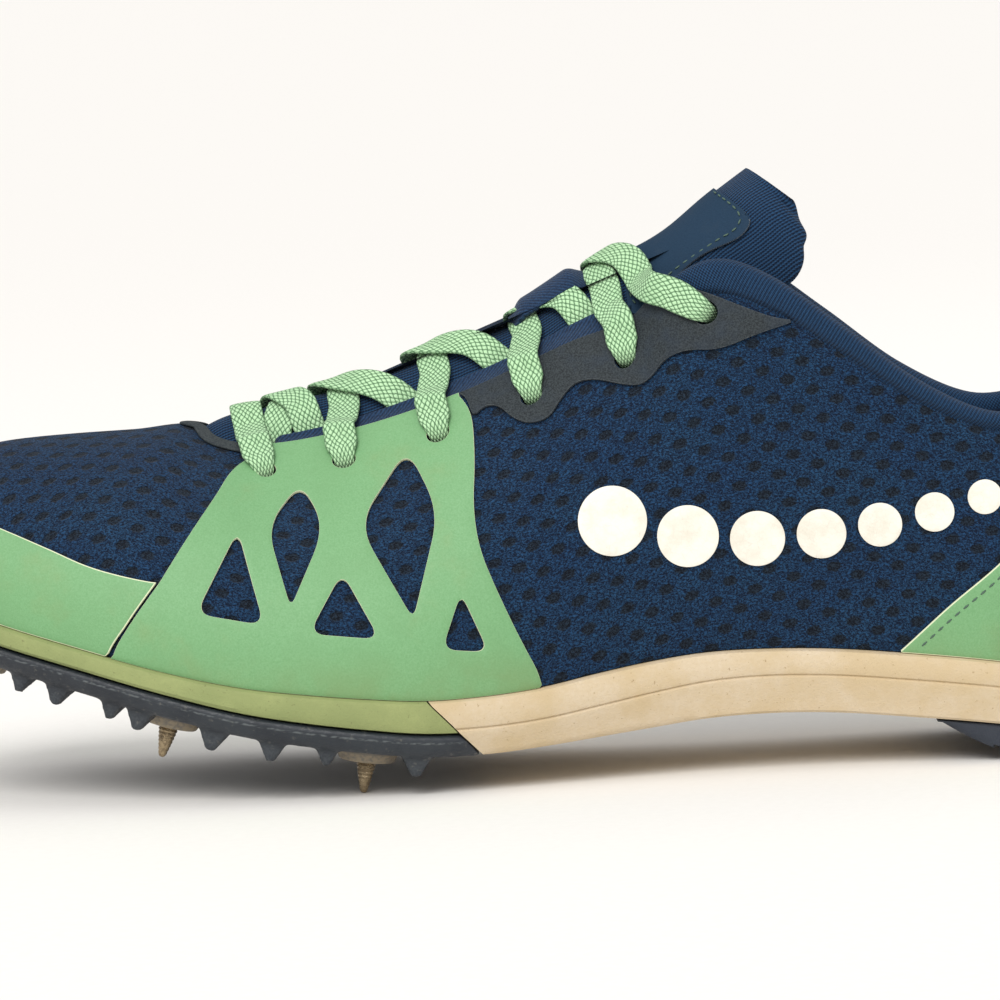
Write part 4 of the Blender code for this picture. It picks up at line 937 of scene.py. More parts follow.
COUNTER_TOP = (
    (0.7800, 0.232), (0.7909, 0.258), (0.8260, 0.345), (0.8646, 0.432), (0.9000, 0.527),
    (0.9350, 0.621), (0.9700, 0.684), (1.0500, 0.705),
)
LAYER = 0.0007


def hole_loops(side, which):
    """Eyelet holes as turns and ups."""
    made = []
    for eyelet in which:
        turn = eyelet_turn(eyelet, side)
        length = rib_length(turn)
        up = 1 - eyelet[1] / length
        here = skin(turn, up)[0]
        pace = np.linalg.norm(skin(turn + 0.05, up)[0] - here) / 0.05
        ring = np.linspace(0, 2 * np.pi, 26, endpoint=False)
        made.append(np.column_stack([
            turn + EYELET_HOLE * 1.04 / pace * np.cos(ring),
            up + EYELET_HOLE * 1.04 / length * np.sin(ring),
        ]))
    return made


def rise_to(turns, line):
    """How far up each rib a line of the side view is met."""
    places = [float(world_x(row[0])) for row in line]
    heights = [row[1] * UPPER_HEIGHT for row in line]
    low, high = np.zeros(len(turns)), np.ones(len(turns))
    for _ in range(26):
        middle = (low + high) / 2
        spot = skin(turns, middle)
        under = spot[:, 2] < hermite(places, heights, spot[:, 0])
        low = np.where(under, middle, low)
        high = np.where(under, high, middle)
    return low


def build_cage(side):
    loop = on_side(CAGE_EDGE, side)
    holes = [on_side(opening, side, 0.0007) for opening in OPENINGS]
    holes += hole_loops(side, EYELETS[:3])
    name = "cage_outer" if side < 0 else "cage_inner"
    obj = patch(f"dressed_{name}", loop, holes, green_layer(), green_cut_edge_and_highlight())
    return settle(obj, "synthetic_green", name)


def build_eyestay(side):
    loop = on_side(EYESTAY_EDGE, side)
    name = "eyestay_outer" if side < 0 else "eyestay_inner"
    obj = patch(f"dressed_{name}", loop, hole_loops(side, EYELETS[3:]), grey_layer(), grey_cut_edge_and_highlight())
    return settle(obj, "synthetic_grey", name)


def build_rand():
    seam = {}
    for side in (-1, 1):
        line, _ = spline(
            np.array([(float(world_x(s)), h * UPPER_HEIGHT, 0.0) for s, h, _ in SEAM]), 0.0010
        )
        seam[side] = SIDES[side].find(line[:, :2])
        if side > 0:
            seam[side][:, 0] -= ROUND_COUNT
    first, last = seam[1][0, 0], seam[-1][0, 0]
    turns = np.linspace(first, last, 190)[1:-1]
    top = np.column_stack([turns, rise_to(turns % ROUND_COUNT, RAND_TOP)])
    foot_last, foot_first = seam[-1][-1], seam[1][-1]
    down = np.column_stack([
        np.linspace(foot_last[0], foot_first[0], 150), np.zeros(150)
    ])
    loop = np.concatenate([top, seam[-1], down, seam[1][::-1]])
    obj = patch("dressed_rand", loop, [], green_layer(), green_cut_edge_and_highlight())
    return settle(obj, "synthetic_green", "toe_rand")


def counter_line():
    turns = np.linspace(15.5, ROUND_COUNT - 15.5, 320)
    ups = rise_to(turns, COUNTER_TOP)
    keep = ups > 0.004
    return turns[keep], ups[keep]


def build_counter():
    turns, ups = counter_line()
    foot = np.linspace(turns[-1], turns[0], 200)
    loop = np.concatenate([
        np.column_stack([turns, ups]), np.column_stack([foot, np.zeros(len(foot))])
    ])
    obj = patch("dressed_counter", loop, [], green_layer(), green_cut_edge_and_highlight())
    return settle(obj, "synthetic_green", "heel_counter")


def build_counter_stitches():
    """A row of small stitches sunk along the counter's edge."""
    turns, ups = counter_line()
    length = rib_length(turns)
    ups = ups - 0.0030 / length
    keep = ups > 0.02
    turns, ups = turns[keep], ups[keep]
    level = GAP + LAYER
    points = skin(turns, ups) + skin_normal(turns, ups) * level
    normals = skin_normal(turns, ups)
    return stitches("counter_stitches", points, normals, 0.0024, 0.0017, 0.0005, thread())


def stitches(name, points, normals, pitch, length, width, finish):
    """Copies of one small stitch along a line."""
    clear_selection()
    bpy.ops.mesh.primitive_uv_sphere_add(segments=6, ring_count=4, radius=0.5)
    one = bpy.context.object
    shape = np.array([tuple(v.co) for v in one.data.vertices])
    faces = [tuple(p.vertices) for p in one.data.polygons]
    bpy.data.objects.remove(one, do_unlink=True)
    track, run = spline(np.column_stack([points, normals]), 0.0002)
    count = int(run[-1] / pitch)
    every = []
    all_faces = []
    for index in range(count):
        middle = (index + 0.5) * pitch
        spot = np.array([np.interp(middle, run, track[:, k]) for k in range(6)])
        ahead = np.array([np.interp(middle + 0.0004, run, track[:, k]) for k in range(3)])
        ahead = ahead - spot[:3]
        ahead /= np.linalg.norm(ahead)
        normal = spot[3:] / np.linalg.norm(spot[3:])
        wide = np.cross(normal, ahead)
        base = index * len(shape)
        every.append(
            spot[:3] + shape[:, :1] * length * ahead + shape[:, 1:2] * width * wide
            + shape[:, 2:] * width * 0.7 * normal
        )
        all_faces += [tuple(base + v for v in face) for face in faces]
    obj = from_faces(name, np.concatenate(every), all_faces, (finish,))
    smooth(obj, 80)
    return obj


def build_trim():
    """The grey band that borders the front of the throat."""
    outer = np.array([8.1, 7.8, 7.4, 7.0, 6.7, 6.45, 6.25])
    rows = []
    for turn in outer:
        rows.append(trim_row(turn))
    front = skin(5.80, 1.0)[0]
    rows.append([front[0] + 0.0006, 0.0, front[2] + 0.0002, 0.0, 0.0, 1.0])
    for turn in outer[::-1]:
        rows.append(trim_row(ROUND_COUNT - turn))
    line = np.array(rows)
    line = np.column_stack([line, np.full(len(line), 0.0030), np.full(len(line), 0.0008)])
    obj = flat_strap("dressed_trim", line, trim_layer(), spacing=0.0005, power=5)
    return settle(obj, "synthetic_grey", "throat_trim")


def trim_row(turn):
    up = 1 - 0.0013 / rib_length(turn)
    normal = skin_normal(turn, up)[0]
    return [*(skin(turn, up)[0] + normal * (GAP + 0.0003)), *normal]


DOTS = (
    (0.5770, 0.560, 7.4), (0.6330, 0.520, 6.6), (0.6850, 0.508, 5.9), (0.7330, 0.512, 5.3),
    (0.7770, 0.526, 4.7), (0.8180, 0.548, 4.2), (0.8560, 0.575, 3.7),
)


def build_dots(side):
    """A plain row of round patches that get smaller towards the heel."""
    made = []
    for index, (share, height, radius) in enumerate(DOTS):
        ring = np.linspace(0, 2 * np.pi, 64, endpoint=False)
        middle = np.array([float(world_x(share)), height * UPPER_HEIGHT])
        spots = middle + radius / MM * np.column_stack([np.cos(ring), np.sin(ring)])
        loop = SIDES[side].find(spots)
        made.append(patch(f"dot_{side}_{index}", loop, [], dot_film(), dot_film(),
                          height=0.00012, thick=0.0003, pace=1.2, bevel=0.0001))
    obj = join(made, "dots_outer" if side < 0 else "dots_inner")
    return settle(obj, "mesh_navy")


# Soles

def sole_body(name, first, last, wall, across, finish, stations=10, floor=None):
    """A closed body round the outline. The wall is rows of an outset and a height function,
    top to bottom. The caps run across between the two sides."""
    count = int(round((last - first) * stations)) + 1
    outer = np.linspace(first, last, count)
    walls = []
    for turns in (outer, ROUND_COUNT - outer):
        foot = ribs_at(turns)[:, :2]
        out = outline_normal(turns)
        line = []
        for outset, height in wall:
            shift = outset(turns) if callable(outset) else np.full(len(turns), outset)
            spot = foot + out * shift[:, None]
            line.append(np.column_stack([spot, height(foot[:, 0])]))
        walls.append(line)
    section = list(walls[0])
    low_a, low_b = walls[0][-1], walls[1][-1]
    for t in np.linspace(0, 1, across + 2)[1:-1]:
        spot = low_a + (low_b - low_a) * t
        if floor:
            spot[:, 2] = floor(spot[:, 0])
        section.append(spot)
    section += walls[1][::-1]
    top_a, top_b = walls[0][0], walls[1][0]
    for t in np.linspace(1, 0, across + 2)[1:-1]:
        section.append(top_a + (top_b - top_a) * t)
    section.append(walls[0][0])
    points = np.array(section)
    start = np.repeat(points.mean(axis=0)[None, :1], len(points), axis=0)
    stop = np.repeat(points.mean(axis=0)[None, -1:], len(points), axis=0)
    if first > 0:
        points = np.concatenate([start, points], axis=1)
    if last < HEEL_ROW:
        points = np.concatenate([points, stop], axis=1)
    obj = sheet(name, points, finish=[finish])
    tidy_normals(obj, 3e-5)
    return obj


def joint_cut(obj, keep_front):
    """Cuts at the slanted joint and closes the cut."""
    point, normal = joint_plane()
    shift = -normal * (GAP / 2) if keep_front else normal * (GAP / 2)
    cut = {
        "plane_co": point + shift, "plane_no": normal, "use_fill": True,
        "clear_inner": not keep_front, "clear_outer": keep_front,
    }
    edit(obj, (bpy.ops.mesh.bisect, cut), EVERYTHING, OUTWARDS)


def between(low, high, share):
    return lambda x: low(x) + (high(x) - low(x)) * share


def build_midsoles():
    rear_wall = [
        (MIDSOLE_LIP - 0.0016, lambda x: feather(x) + 0.0001),
        (MIDSOLE_LIP - 0.0005, lambda x: feather(x)),
        (MIDSOLE_LIP + 0.0001, lambda x: feather(x) - 0.0003),
        (MIDSOLE_LIP + 0.0004, lambda x: feather(x) - 0.0010),
        (MIDSOLE_LIP + 0.0005, between(crease_height, feather, 0.5)),
        (MIDSOLE_LIP + 0.0005, lambda x: crease_height(x) + 0.0009),
        (MIDSOLE_LIP + 0.0003, lambda x: crease_height(x) + 0.0003),
        (MIDSOLE_LIP - 0.0002, crease_height),
        (MIDSOLE_LIP + 0.0002, lambda x: crease_height(x) - 0.0005),
        (MIDSOLE_LIP + 0.0001, lambda x: crease_height(x) - 0.0012),
        (MIDSOLE_LIP - 0.0007, between(underside, crease_height, 0.55)),
        (MIDSOLE_LIP - 0.0014, between(underside, crease_height, 0.22)),
        (MIDSOLE_LIP - 0.0018, lambda x: underside(x) + 0.0006),
        (MIDSOLE_LIP - 0.0024, lambda x: underside(x) + 0.0001),
        (MIDSOLE_LIP - 0.0032, underside),
    ]
    rear = sole_body("dressed_midsole_rear", 7.0, HEEL_ROW, rear_wall, 12, cream_foam())
    joint_cut(rear, False)
    smooth(rear, 32)
    settle(rear, "foam_cream", "midsole_rear")
    low = lambda x: plate_top(x) + GAP
    front_wall = [
        (MIDSOLE_LIP - 0.0016, lambda x: feather(x) + 0.0001),
        (MIDSOLE_LIP - 0.0004, lambda x: feather(x)),
        (MIDSOLE_LIP + 0.0002, lambda x: feather(x) - 0.0004),
        (MIDSOLE_LIP + 0.0004, lambda x: feather(x) - 0.0011),
        (MIDSOLE_LIP + 0.0004, between(low, feather, 0.5)),
        (MIDSOLE_LIP + 0.0003, between(low, feather, 0.2)),
        (MIDSOLE_LIP - 0.0003, lambda x: low(x) + 0.0002),
        (MIDSOLE_LIP - 0.0010, low),
    ]
    front = sole_body("dressed_midsole_front", 0, 13.0, front_wall, 12, olive_foam())
    joint_cut(front, True)
    smooth(front, 32)
    settle(front, "foam_olive", "midsole_front")


def tooth(share, side, size):
    """A worn tooth on the plate's rim, from a four sided cone."""
    turn = outline_turn_at(share, side)
    out = outline_normal([turn])[0]
    rows = ribs_at([turn])[0]
    width = TOOTH_WIDTH * size
    spot = rows[:2] - out * (width * 0.5 + 0.0002)
    frame_here = sole_frame(share_of(spot[0]), spot[1])
    heading = math.atan2(out[1], out[0])
    place = Matrix.Translation(frame_here.translation) @ frame_here.to_3x3().to_4x4()
    place = place @ Matrix.Rotation(-heading, 4, "Z")
    clear_selection()
    bpy.ops.mesh.primitive_cone_add(
        vertices=4, radius1=width * 0.70, radius2=width * 0.14, depth=TOOTH_HEIGHT * size + 0.0022,
    )
    obj = bpy.context.object
    inner = place @ Matrix.Translation((0, 0, (TOOTH_HEIGHT * size - 0.0022) / 2))
    inner = inner @ Matrix.Rotation(math.radians(45), 4, "Z")
    obj.data.transform(inner)
    down = place.to_3x3() @ Vector((0, 0, 1))
    for vert in obj.data.vertices:
        if (vert.co - place.translation).dot(down) > TOOTH_HEIGHT * size * 0.5:
            vert.co += Vector((out[0], out[1], 0.0)) * (width * 0.28)
    return obj


def build_plate():
    wall = [
        (MIDSOLE_LIP - 0.0012, plate_top),
        (MIDSOLE_LIP - 0.0002, lambda x: plate_top(x) - 0.0004),
        (MIDSOLE_LIP, lambda x: plate_top(x) - 0.0012),
        (MIDSOLE_LIP - 0.0002, lambda x: plate_top(x) - 0.0020),
        (MIDSOLE_LIP - 0.0009, lambda x: underside(x) + 0.0012),
        (MIDSOLE_LIP - 0.0016, lambda x: underside(x) + 0.0004),
        (0.0, underside),
    ]
    plate = sole_body(
        "dressed_plate", 0, outline_turn_at(PLATE_END, -1), wall, 12, plate_plastic()
    )
    joint_cut(plate, True)
    teeth = [tooth(share, -1, size) for share, size in OUTER_TEETH]
    teeth += [tooth(share, 1, size) for share, size in INNER_TEETH]
    for share, across in INNER_LUGS:
        place = sole_frame(share, across * BALL_WIDTH) @ Matrix.Translation((0, 0, 0.0007))
        clear_selection()
        bpy.ops.mesh.primitive_cone_add(vertices=6, radius1=0.0042, radius2=0.0016, depth=0.0034)
        bpy.context.object.data.transform(place)
        teeth.append(bpy.context.object)
    plate = join([plate, *teeth], "dressed_plate")
    apply(plate, "REMESH", mode="VOXEL", voxel_size=0.0005)
    apply(plate, "SMOOTH", factor=0.5, iterations=5)
    if len(plate.data.polygons) > 95000:
        apply(plate, "DECIMATE", ratio=95000 / len(plate.data.polygons) * 0.95)
    level = plate.data.attributes.new("level", "FLOAT", "POINT")
    places = read(plate.data.vertices, "co")
    level.data.foreach_set(
        "value", ((places[:, 2] - plate_top(places[:, 0])) * MM).astype(np.float32)
    )
    only(plate)
    bpy.ops.object.shade_smooth()
    settle(plate, "plate_navy", "spike_plate")


def turned(name, profile, place, finish, around=40):
    """A round piece from a profile of radii and heights, set on a frame."""
    turns = np.linspace(0, 2 * np.pi, around + 1)
    profile = np.array(profile)
    points = np.zeros((len(profile), len(turns), 3))
    points[..., 0] = profile[:, :1] * np.cos(turns)
    points[..., 1] = profile[:, :1] * np.sin(turns)
    points[..., 2] = profile[:, 1:]
    uv = np.zeros(points.shape[:2] + (2,))
    uv[..., 0] = turns[None] / (2 * np.pi) * 8
    uv[..., 1] = profile[:, 1:] * MM
    obj = sheet(name, points, uv, finish=[finish])
    tidy_normals(obj, 2e-6)
    obj.data.transform(place)
    smooth(obj, 35)
    return obj


def build_pins():
    for index, (share, across) in enumerate(PINS):
        side = -1 if across < 0 else 1
        spot = side * abs(across) * half_width(share, side)
        place = sole_frame(share, spot)
        radius, deep = SEAT_RADIUS, SEAT_DEPTH
        seat = turned(f"dressed_seat_{index + 1}", [
            (0, 0.0003), (radius, 0.0003), (radius, 0.0009), (radius * 0.985, 0.0014),
            (radius * 0.94, deep - 0.0007), (radius * 0.905, deep - 0.0002), (radius * 0.86, deep),
            (radius * 0.64, deep), (radius * 0.60, deep - 0.0003), (radius * 0.56, deep),
            (0.0030, deep), (0.0027, deep - 0.0004), (0, deep - 0.0004),
        ], place, seat_plastic())
        settle(seat, "seat_nylon", f"spike_seat_{index + 1}")
        base, tip, tall = PIN_BASE_RADIUS, PIN_TIP_RADIUS, PIN_LENGTH
        start = deep + GAP
        end = deep + tall
        profile = [(0, start), (base * 1.02, start), (base * 1.05, start + 0.0002)]
        steps = 15
        for step in range(steps):
            t = step / (steps - 1)
            radius_here = base + (tip * 1.02 - base) * t**1.15
            wave = 0.00010 * (1 if step % 2 else -1) * (1 - t * 0.6)
            profile.append((radius_here + wave, start + 0.0004 + (tall - GAP - 0.0009) * t))
        profile += [(tip * 0.72, end - 0.00015), (tip * 0.3, end), (0, end)]
        pin = turned(f"dressed_pin_{index + 1}", profile, place, pin_metal(), 28)
        settle(pin, "pin_steel", f"spike_pin_{index + 1}")


def pad_floor(x):
    """Underside of the heel pad, with its grooves."""
    low = pad_bottom(x)
    for share in PAD_GROOVES:
        away = np.abs(x - float(world_x(share)))
        low = low + PAD_GROOVE_DEPTH * np.clip((PAD_GROOVE_WIDTH / 2 + 0.0004 - away) / 0.0004, 0, 1)
    return np.minimum(low, underside(x) - GAP - 0.0003)


def build_heel_pad():
    first = outline_turn_at(PAD_START, -1)
    wall = [
        (MIDSOLE_LIP - 0.0034, lambda x: underside(x) - GAP),
        (MIDSOLE_LIP - 0.0030, between(pad_bottom, lambda x: underside(x) - GAP, 0.9)),
        (MIDSOLE_LIP - 0.0036, between(pad_bottom, lambda x: underside(x) - GAP, 0.5)),
        (MIDSOLE_LIP - 0.0043, between(pad_bottom, lambda x: underside(x) - GAP, 0.15)),
        (MIDSOLE_LIP - 0.0050, pad_floor),
    ]
    pad = sole_body(
        "dressed_heel_pad", first, HEEL_ROW, wall, 24, heel_rubber(), stations=26, floor=pad_floor,
    )
    smooth(pad, 30)
    settle(pad, "rubber_navy", "heel_pad")


def build_insole():
    over = GAP + WALL + 2 * GAP
    rim = -(WALL + 3 * CLEARANCE)
    high = lambda x: feather(x) + over + INSOLE_THICKNESS
    wall = [
        (rim - 0.0030, lambda x: high(x) - 0.0001),
        (rim - 0.0012, lambda x: high(x) - 0.0003),
        (rim - 0.0003, lambda x: high(x) - 0.0009),
        (rim, lambda x: high(x) - 0.0018),
        (rim, lambda x: feather(x) + over),
        (-(LASTING_MARGIN + CLEARANCE), lambda x: feather(x) + over),
        (-(LASTING_MARGIN + CLEARANCE), lambda x: feather(x) + GAP),
    ]
    insole = sole_body("dressed_insole", 0, HEEL_ROW, wall, 10, insole_cloth(), stations=6)
    smooth(insole, 40)
    settle(insole, "insole_navy", "insole")


# Eyelets: place along the length, and distance below the upper's edge

EYELETS = (
    (0.317, 0.0085), (0.378, 0.0085), (0.450, 0.0085), (0.522, 0.0085), (0.594, 0.0085),
    (0.655, 0.0120),
)


def eyelet_turn(eyelet, side):
    share, inset = eyelet
    low, high = float(THROAT_ROW), float(TOP_EYELET_ROW + 2)
    for _ in range(26):
        middle = (low + high) / 2
        turn = middle if side < 0 else ROUND_COUNT - middle
        up = 1 - inset / rib_length(turn)
        if skin(turn, up)[0, 0] < world_x(share):
            low = middle
        else:
            high = middle
    return low if side < 0 else ROUND_COUNT - low


def eyelet_spot(eyelet, side):
    turn = eyelet_turn(eyelet, side)
    up = 1 - eyelet[1] / rib_length(turn)
    return Vector(skin(turn, up)[0]), Vector(skin_normal(turn, up)[0])


# The tongue lies under the throat's edges and stands free above them

TONGUE_WING = 0.0090
TONGUE_SHOULDER = 0.0080
# Rows where the tongue stands free: place along the length of its ridge, height there (share
# of the upper's height), half width and how far its sides fall back (shares of ball width)
TONGUE_FREE = (
    (0.6320, 1.160, 0.205, 0.235),
    (0.6600, 1.222, 0.205, 0.270),
    (0.6800, 1.262, 0.190, 0.215),
    (0.6870, 1.275, 0.140, 0.110),
)
TONGUE_LEAN = (0.72, 0.0, -0.69)
TONGUE_ARCH = 80
# The tongue's ridge in the throat: place along the length, height (share of the upper's)
TONGUE_RIDGE = (
    (0.262, 0.768), (0.270, 0.774), (0.279, 0.790), (0.315, 0.812), (0.333, 0.822),
    (0.375, 0.846), (0.407, 0.873), (0.439, 0.905), (0.473, 0.940), (0.501, 0.963),
    (0.523, 0.992), (0.554, 1.044), (0.582, 1.095), (0.602, 1.123),
)
TONGUE_CLEAR = LACE_THICKNESS + 2 * CLEARANCE


def inset_skin(turn, distance, depth):
    """A point under the upper, some distance below a rib's top."""
    up = 1 - distance / rib_length(turn)
    return skin(turn, up)[0] - skin_normal(turn, up)[0] * depth


def tongue_controls(turn):
    """Five points across the tongue's top face, where the upper covers its sides."""
    depth = WALL + TONGUE_CLEAR
    row = ribs_at([turn])[0]
    half_gap = abs(row[3] - centre_y(row[2]))
    under = max(0.0, TONGUE_SHOULDER - half_gap)
    sides = []
    for rib in (turn, ROUND_COUNT - turn):
        sides.append((inset_skin(rib, under + TONGUE_WING, depth), inset_skin(rib, under, depth)))
    middle = (sides[0][1] + sides[1][1]) / 2
    width = np.linalg.norm(sides[0][1] - sides[1][1]) / 2
    middle[2] += width * 0.09
    if half_gap > 0.002:
        places = [knot[0] for knot in TONGUE_RIDGE]
        heights = [knot[1] * UPPER_HEIGHT for knot in TONGUE_RIDGE]
        middle[2] = hermite(places, heights, share_of(middle[:1]))[0]
    return np.array([sides[0][0], sides[0][1], middle, sides[1][1], sides[1][0]])


def free_controls(row):
    """Five points across the tongue where it stands free. It is arched and leans back."""
    along, height, half, drop = row
    middle = np.array([float(world_x(along)), 0.0, height * UPPER_HEIGHT])
    lean = np.array(TONGUE_LEAN)
    points = []
    full = math.radians(TONGUE_ARCH)
    for across in (-1.0, -0.62, 0.0, 0.62, 1.0):
        fall = drop * BALL_WIDTH * (1 - math.cos(across * full)) / (1 - math.cos(full))
        aside = half * BALL_WIDTH * math.sin(across * full) / math.sin(full)
        points.append(middle + np.array([0.0, aside, 0.0]) + lean * fall)
    return np.array(points)


def tongue_rows():
    turns = np.linspace(5.0, TOP_EYELET_ROW, 15)
    rows = [tongue_controls(turn) for turn in turns]
    rows += [free_controls(row) for row in TONGUE_FREE]
    return np.array(rows)


TONGUE_LAST = 14


def tongue_face(across, along):
    """Top face of the tongue: across runs -1 to 1 and along counts its rows."""
    rows = TONGUE_TABLE
    at = np.clip(along, 0, len(rows) - 1)
    section = hermite(np.arange(len(rows)), rows, np.array([at]))[0]
    knots = np.array([-1.0, -0.62, 0.0, 0.62, 1.0])
    return hermite(knots, section, np.array([across]))[0]


TONGUE_TABLE = tongue_rows()


def tongue_normal(across, along):
    step = 0.04
    side = tongue_face(across + step, along) - tongue_face(across - step, along)
    onward = tongue_face(across, along + step) - tongue_face(across, along - step)
    normal = np.cross(onward, side)
    normal /= np.linalg.norm(normal)
    return normal if normal[2] > 0 else -normal


# Tongue, keeper and laces

TONGUE_ACROSS = 64
TONGUE_ALONG = 190


def tongue_grid(acrosses, alongs):
    """Top face of the tongue and its normals, as rows along and columns across."""
    sections = hermite(np.arange(len(TONGUE_TABLE)), TONGUE_TABLE, np.asarray(alongs, float))
    knots = np.array([-1.0, -0.62, 0.0, 0.62, 1.0])
    points = np.array([hermite(knots, section, acrosses) for section in sections])
    by_row = np.gradient(points, axis=0)
    by_column = np.gradient(points, axis=1)
    normal = np.cross(by_row, by_column)
    normal /= np.maximum(np.linalg.norm(normal, axis=2, keepdims=True), 1e-12)
    normal *= np.where(normal[..., 2:] < 0, -1.0, 1.0)
    return points, normal


def build_tongue():
    last = len(TONGUE_TABLE) - 1
    alongs = np.concatenate([np.linspace(0, last - 1, TONGUE_ALONG - 50),
                             last - 1 + np.sin(np.linspace(0, np.pi / 2, 51)[1:])])
    half = TONGUE_ACROSS // 2
    spread = np.sin(np.linspace(-np.pi / 2, np.pi / 2, half + 1))
    points, normal = tongue_grid(spread, alongs)
    top = smooth_step((alongs - TONGUE_LAST + 2) / 4)
    thick = TONGUE_THICKNESS + (TONGUE_TOP_THICKNESS - TONGUE_THICKNESS) * top
    fuller = np.clip(alongs - (last - 1), 0, 1)[:, None]
    points[..., 0] += fuller * (0.0017 + 0.0020 * np.abs(spread)[None])
    points[..., 2] += fuller * 0.0012
    bulge = np.exp(-(((alongs - last + 0.55) / 0.36) ** 2))[:, None]
    points[..., 0] += 0.0020 * bulge * np.abs(spread)[None] ** 3
    end = np.sqrt(np.clip(1 - ((alongs - (last - 0.34)) / 0.34).clip(0, 1) ** 2, 0, 1))
    begin = np.sqrt(np.clip(1 - ((0.25 - alongs) / 0.25).clip(0, 1) ** 2, 0.0, 1))
    thick = thick * end * begin
    side = np.sqrt(np.clip(1 - np.abs(spread) ** 3.4, 0, 1))
    lower = points - normal * (thick[:, None] * (0.5 + 0.5 * side[None]))[..., None]
    upper = points - normal * (thick[:, None] * (0.5 - 0.5 * side[None]))[..., None]
    loop = np.concatenate([upper, lower[:, ::-1][:, 1:]], axis=1)
    across = np.linalg.norm(np.diff(points, axis=1), axis=2).cumsum(axis=1)
    across = np.concatenate([np.zeros((len(alongs), 1)), across], axis=1) * MM
    across -= across[:, half // 2][:, None]
    run = np.linalg.norm(np.diff(points, axis=0), axis=2)[:, half // 2]
    run = np.concatenate([[0.0], np.cumsum(run)]) * MM
    uv = np.zeros(loop.shape[:2] + (2,))
    uv[..., 0] = np.concatenate([across, across[:, ::-1][:, 1:]], axis=1)
    uv[..., 1] = run[:, None]
    tongue = sheet("dressed_tongue", loop, uv, finish=[tongue_knit()])
    tidy_normals(tongue, 3e-5)
    edit(tongue, NOTHING, (bpy.ops.mesh.select_mode, {"type": "EDGE"}),
         (bpy.ops.mesh.select_non_manifold, {}), (bpy.ops.mesh.edge_face_add, {}), EVERYTHING, OUTWARDS)
    smooth(tongue, 60)
    settle(tongue, "knit_navy", "tongue")


def label_place(side, rise):
    """A place on the label, from -1 to 1 each way, as the tongue's across and along."""
    along = 15.0 + 1.40 * rise
    half = 0.54 + 0.09 * float(smooth_step((along - 14.0) / 1.6))
    return side * half, along + 0.22 * side * side * (1 + rise) / 2


def build_label():
    """A smooth label with a raised border on the tongue's top, left plain."""
    rows, columns = 40, 50
    u = np.linspace(-1, 1, columns)
    v = np.linspace(-1, 1, rows)
    corner = np.maximum(np.abs(u)[None] ** 8 + np.abs(v)[:, None] ** 8, 0)
    inset = np.where(corner > 1, corner ** (-0.125), 1.0)
    grid_u, grid_v = np.meshgrid(u, v)
    shaped = []
    for r in range(rows):
        line = []
        for c in range(columns):
            line.append(label_place(grid_u[r, c] * inset[r, c], grid_v[r, c] * inset[r, c]))
        shaped.append(line)
    shaped = np.array(shaped)
    spots = np.zeros((rows, columns, 3))
    for r in range(rows):
        for c in range(columns):
            a, b = shaped[r, c]
            spots[r, c] = tongue_face(a, b) + tongue_normal(a, b) * 0.00010
    uv = np.zeros((rows, columns, 2))
    uv[..., 0] = grid_u
    uv[..., 1] = grid_v
    label = sheet("tongue_label", spots, uv, finish=[label_film(), label_edge()])
    tidy_normals(label, 1e-5)
    face_upwards(label)
    apply(label, "SOLIDIFY", thickness=0.0006, offset=1.0, material_offset_rim=1)
    apply(label, "BEVEL", width=0.00025, segments=2, limit_method="ANGLE",
          angle_limit=math.radians(50), material=1)
    smooth(label, 40)
    settle(label, "knit_navy")
    ring = np.linspace(0, 2 * np.pi, 120)
    line = []
    for t in ring:
        a, b = label_place(
            np.sign(np.cos(t)) * abs(np.cos(t)) ** 0.3 * 0.91,
            np.sign(np.sin(t)) * abs(np.sin(t)) ** 0.3 * 0.94,
        )
        normal = tongue_normal(a, b)
        line.append([*(tongue_face(a, b) + normal * 0.00088), *normal])
    line = np.array(line)
    border = stitches("label_stitches", line[:, :3], line[:, 3:], 0.0021, 0.0015, 0.00045, thread())
    settle(border, "knit_navy")


def face_upwards(obj):
    total = sum(face.normal.z * face.area for face in obj.data.polygons)
    if total < 0:
        edit(obj, FLIPPED)


LACE_STEPS = 41
TUCK = 0.66
EDGE_BLEND = 0.34
LACE_KNOTS = (0.0, 0.25, 0.50, 0.62, 0.78, 1.0)
BAR_SLIDE = (-0.15, -0.45, -0.62, -0.60, -0.40, -0.15)
SLIDES = {
    (0, -1): (0.10, 0.30, 0.55, 0.70, 1.10, 1.50), (0, 1): (0.0, 0.15, 0.45, 0.80, 1.00, 1.35),
    (1, -1): (0.0, 0.05, 0.12, 0.55, 1.10, 1.60), (1, 1): (0.0, -0.12, -0.25, 0.45, 1.10, 1.60),
    (2, -1): (0.0, 0.03, 0.06, 0.50, 1.05, 1.50), (2, 1): (0.0, -0.10, -0.19, 0.56, 1.06, 1.50),
    (3, -1): (0.0, 0.0, 0.02, 0.50, 1.00, 1.60), (3, 1): (0.0, 0.0, 0.0, 0.54, 0.95, 1.50),
    (4, -1): (-0.14, -0.50, -0.72, -0.24, 0.35, 0.70), (4, 1): (0.0, -0.41, -0.62, 0.12, 0.58, 0.73),
}
BAND_INNER = 0.42
BAND_OUTER = 0.80


def along_of_turn(turn):
    return (turn - 5.0) / (TOP_EYELET_ROW - 5.0) * TONGUE_LAST


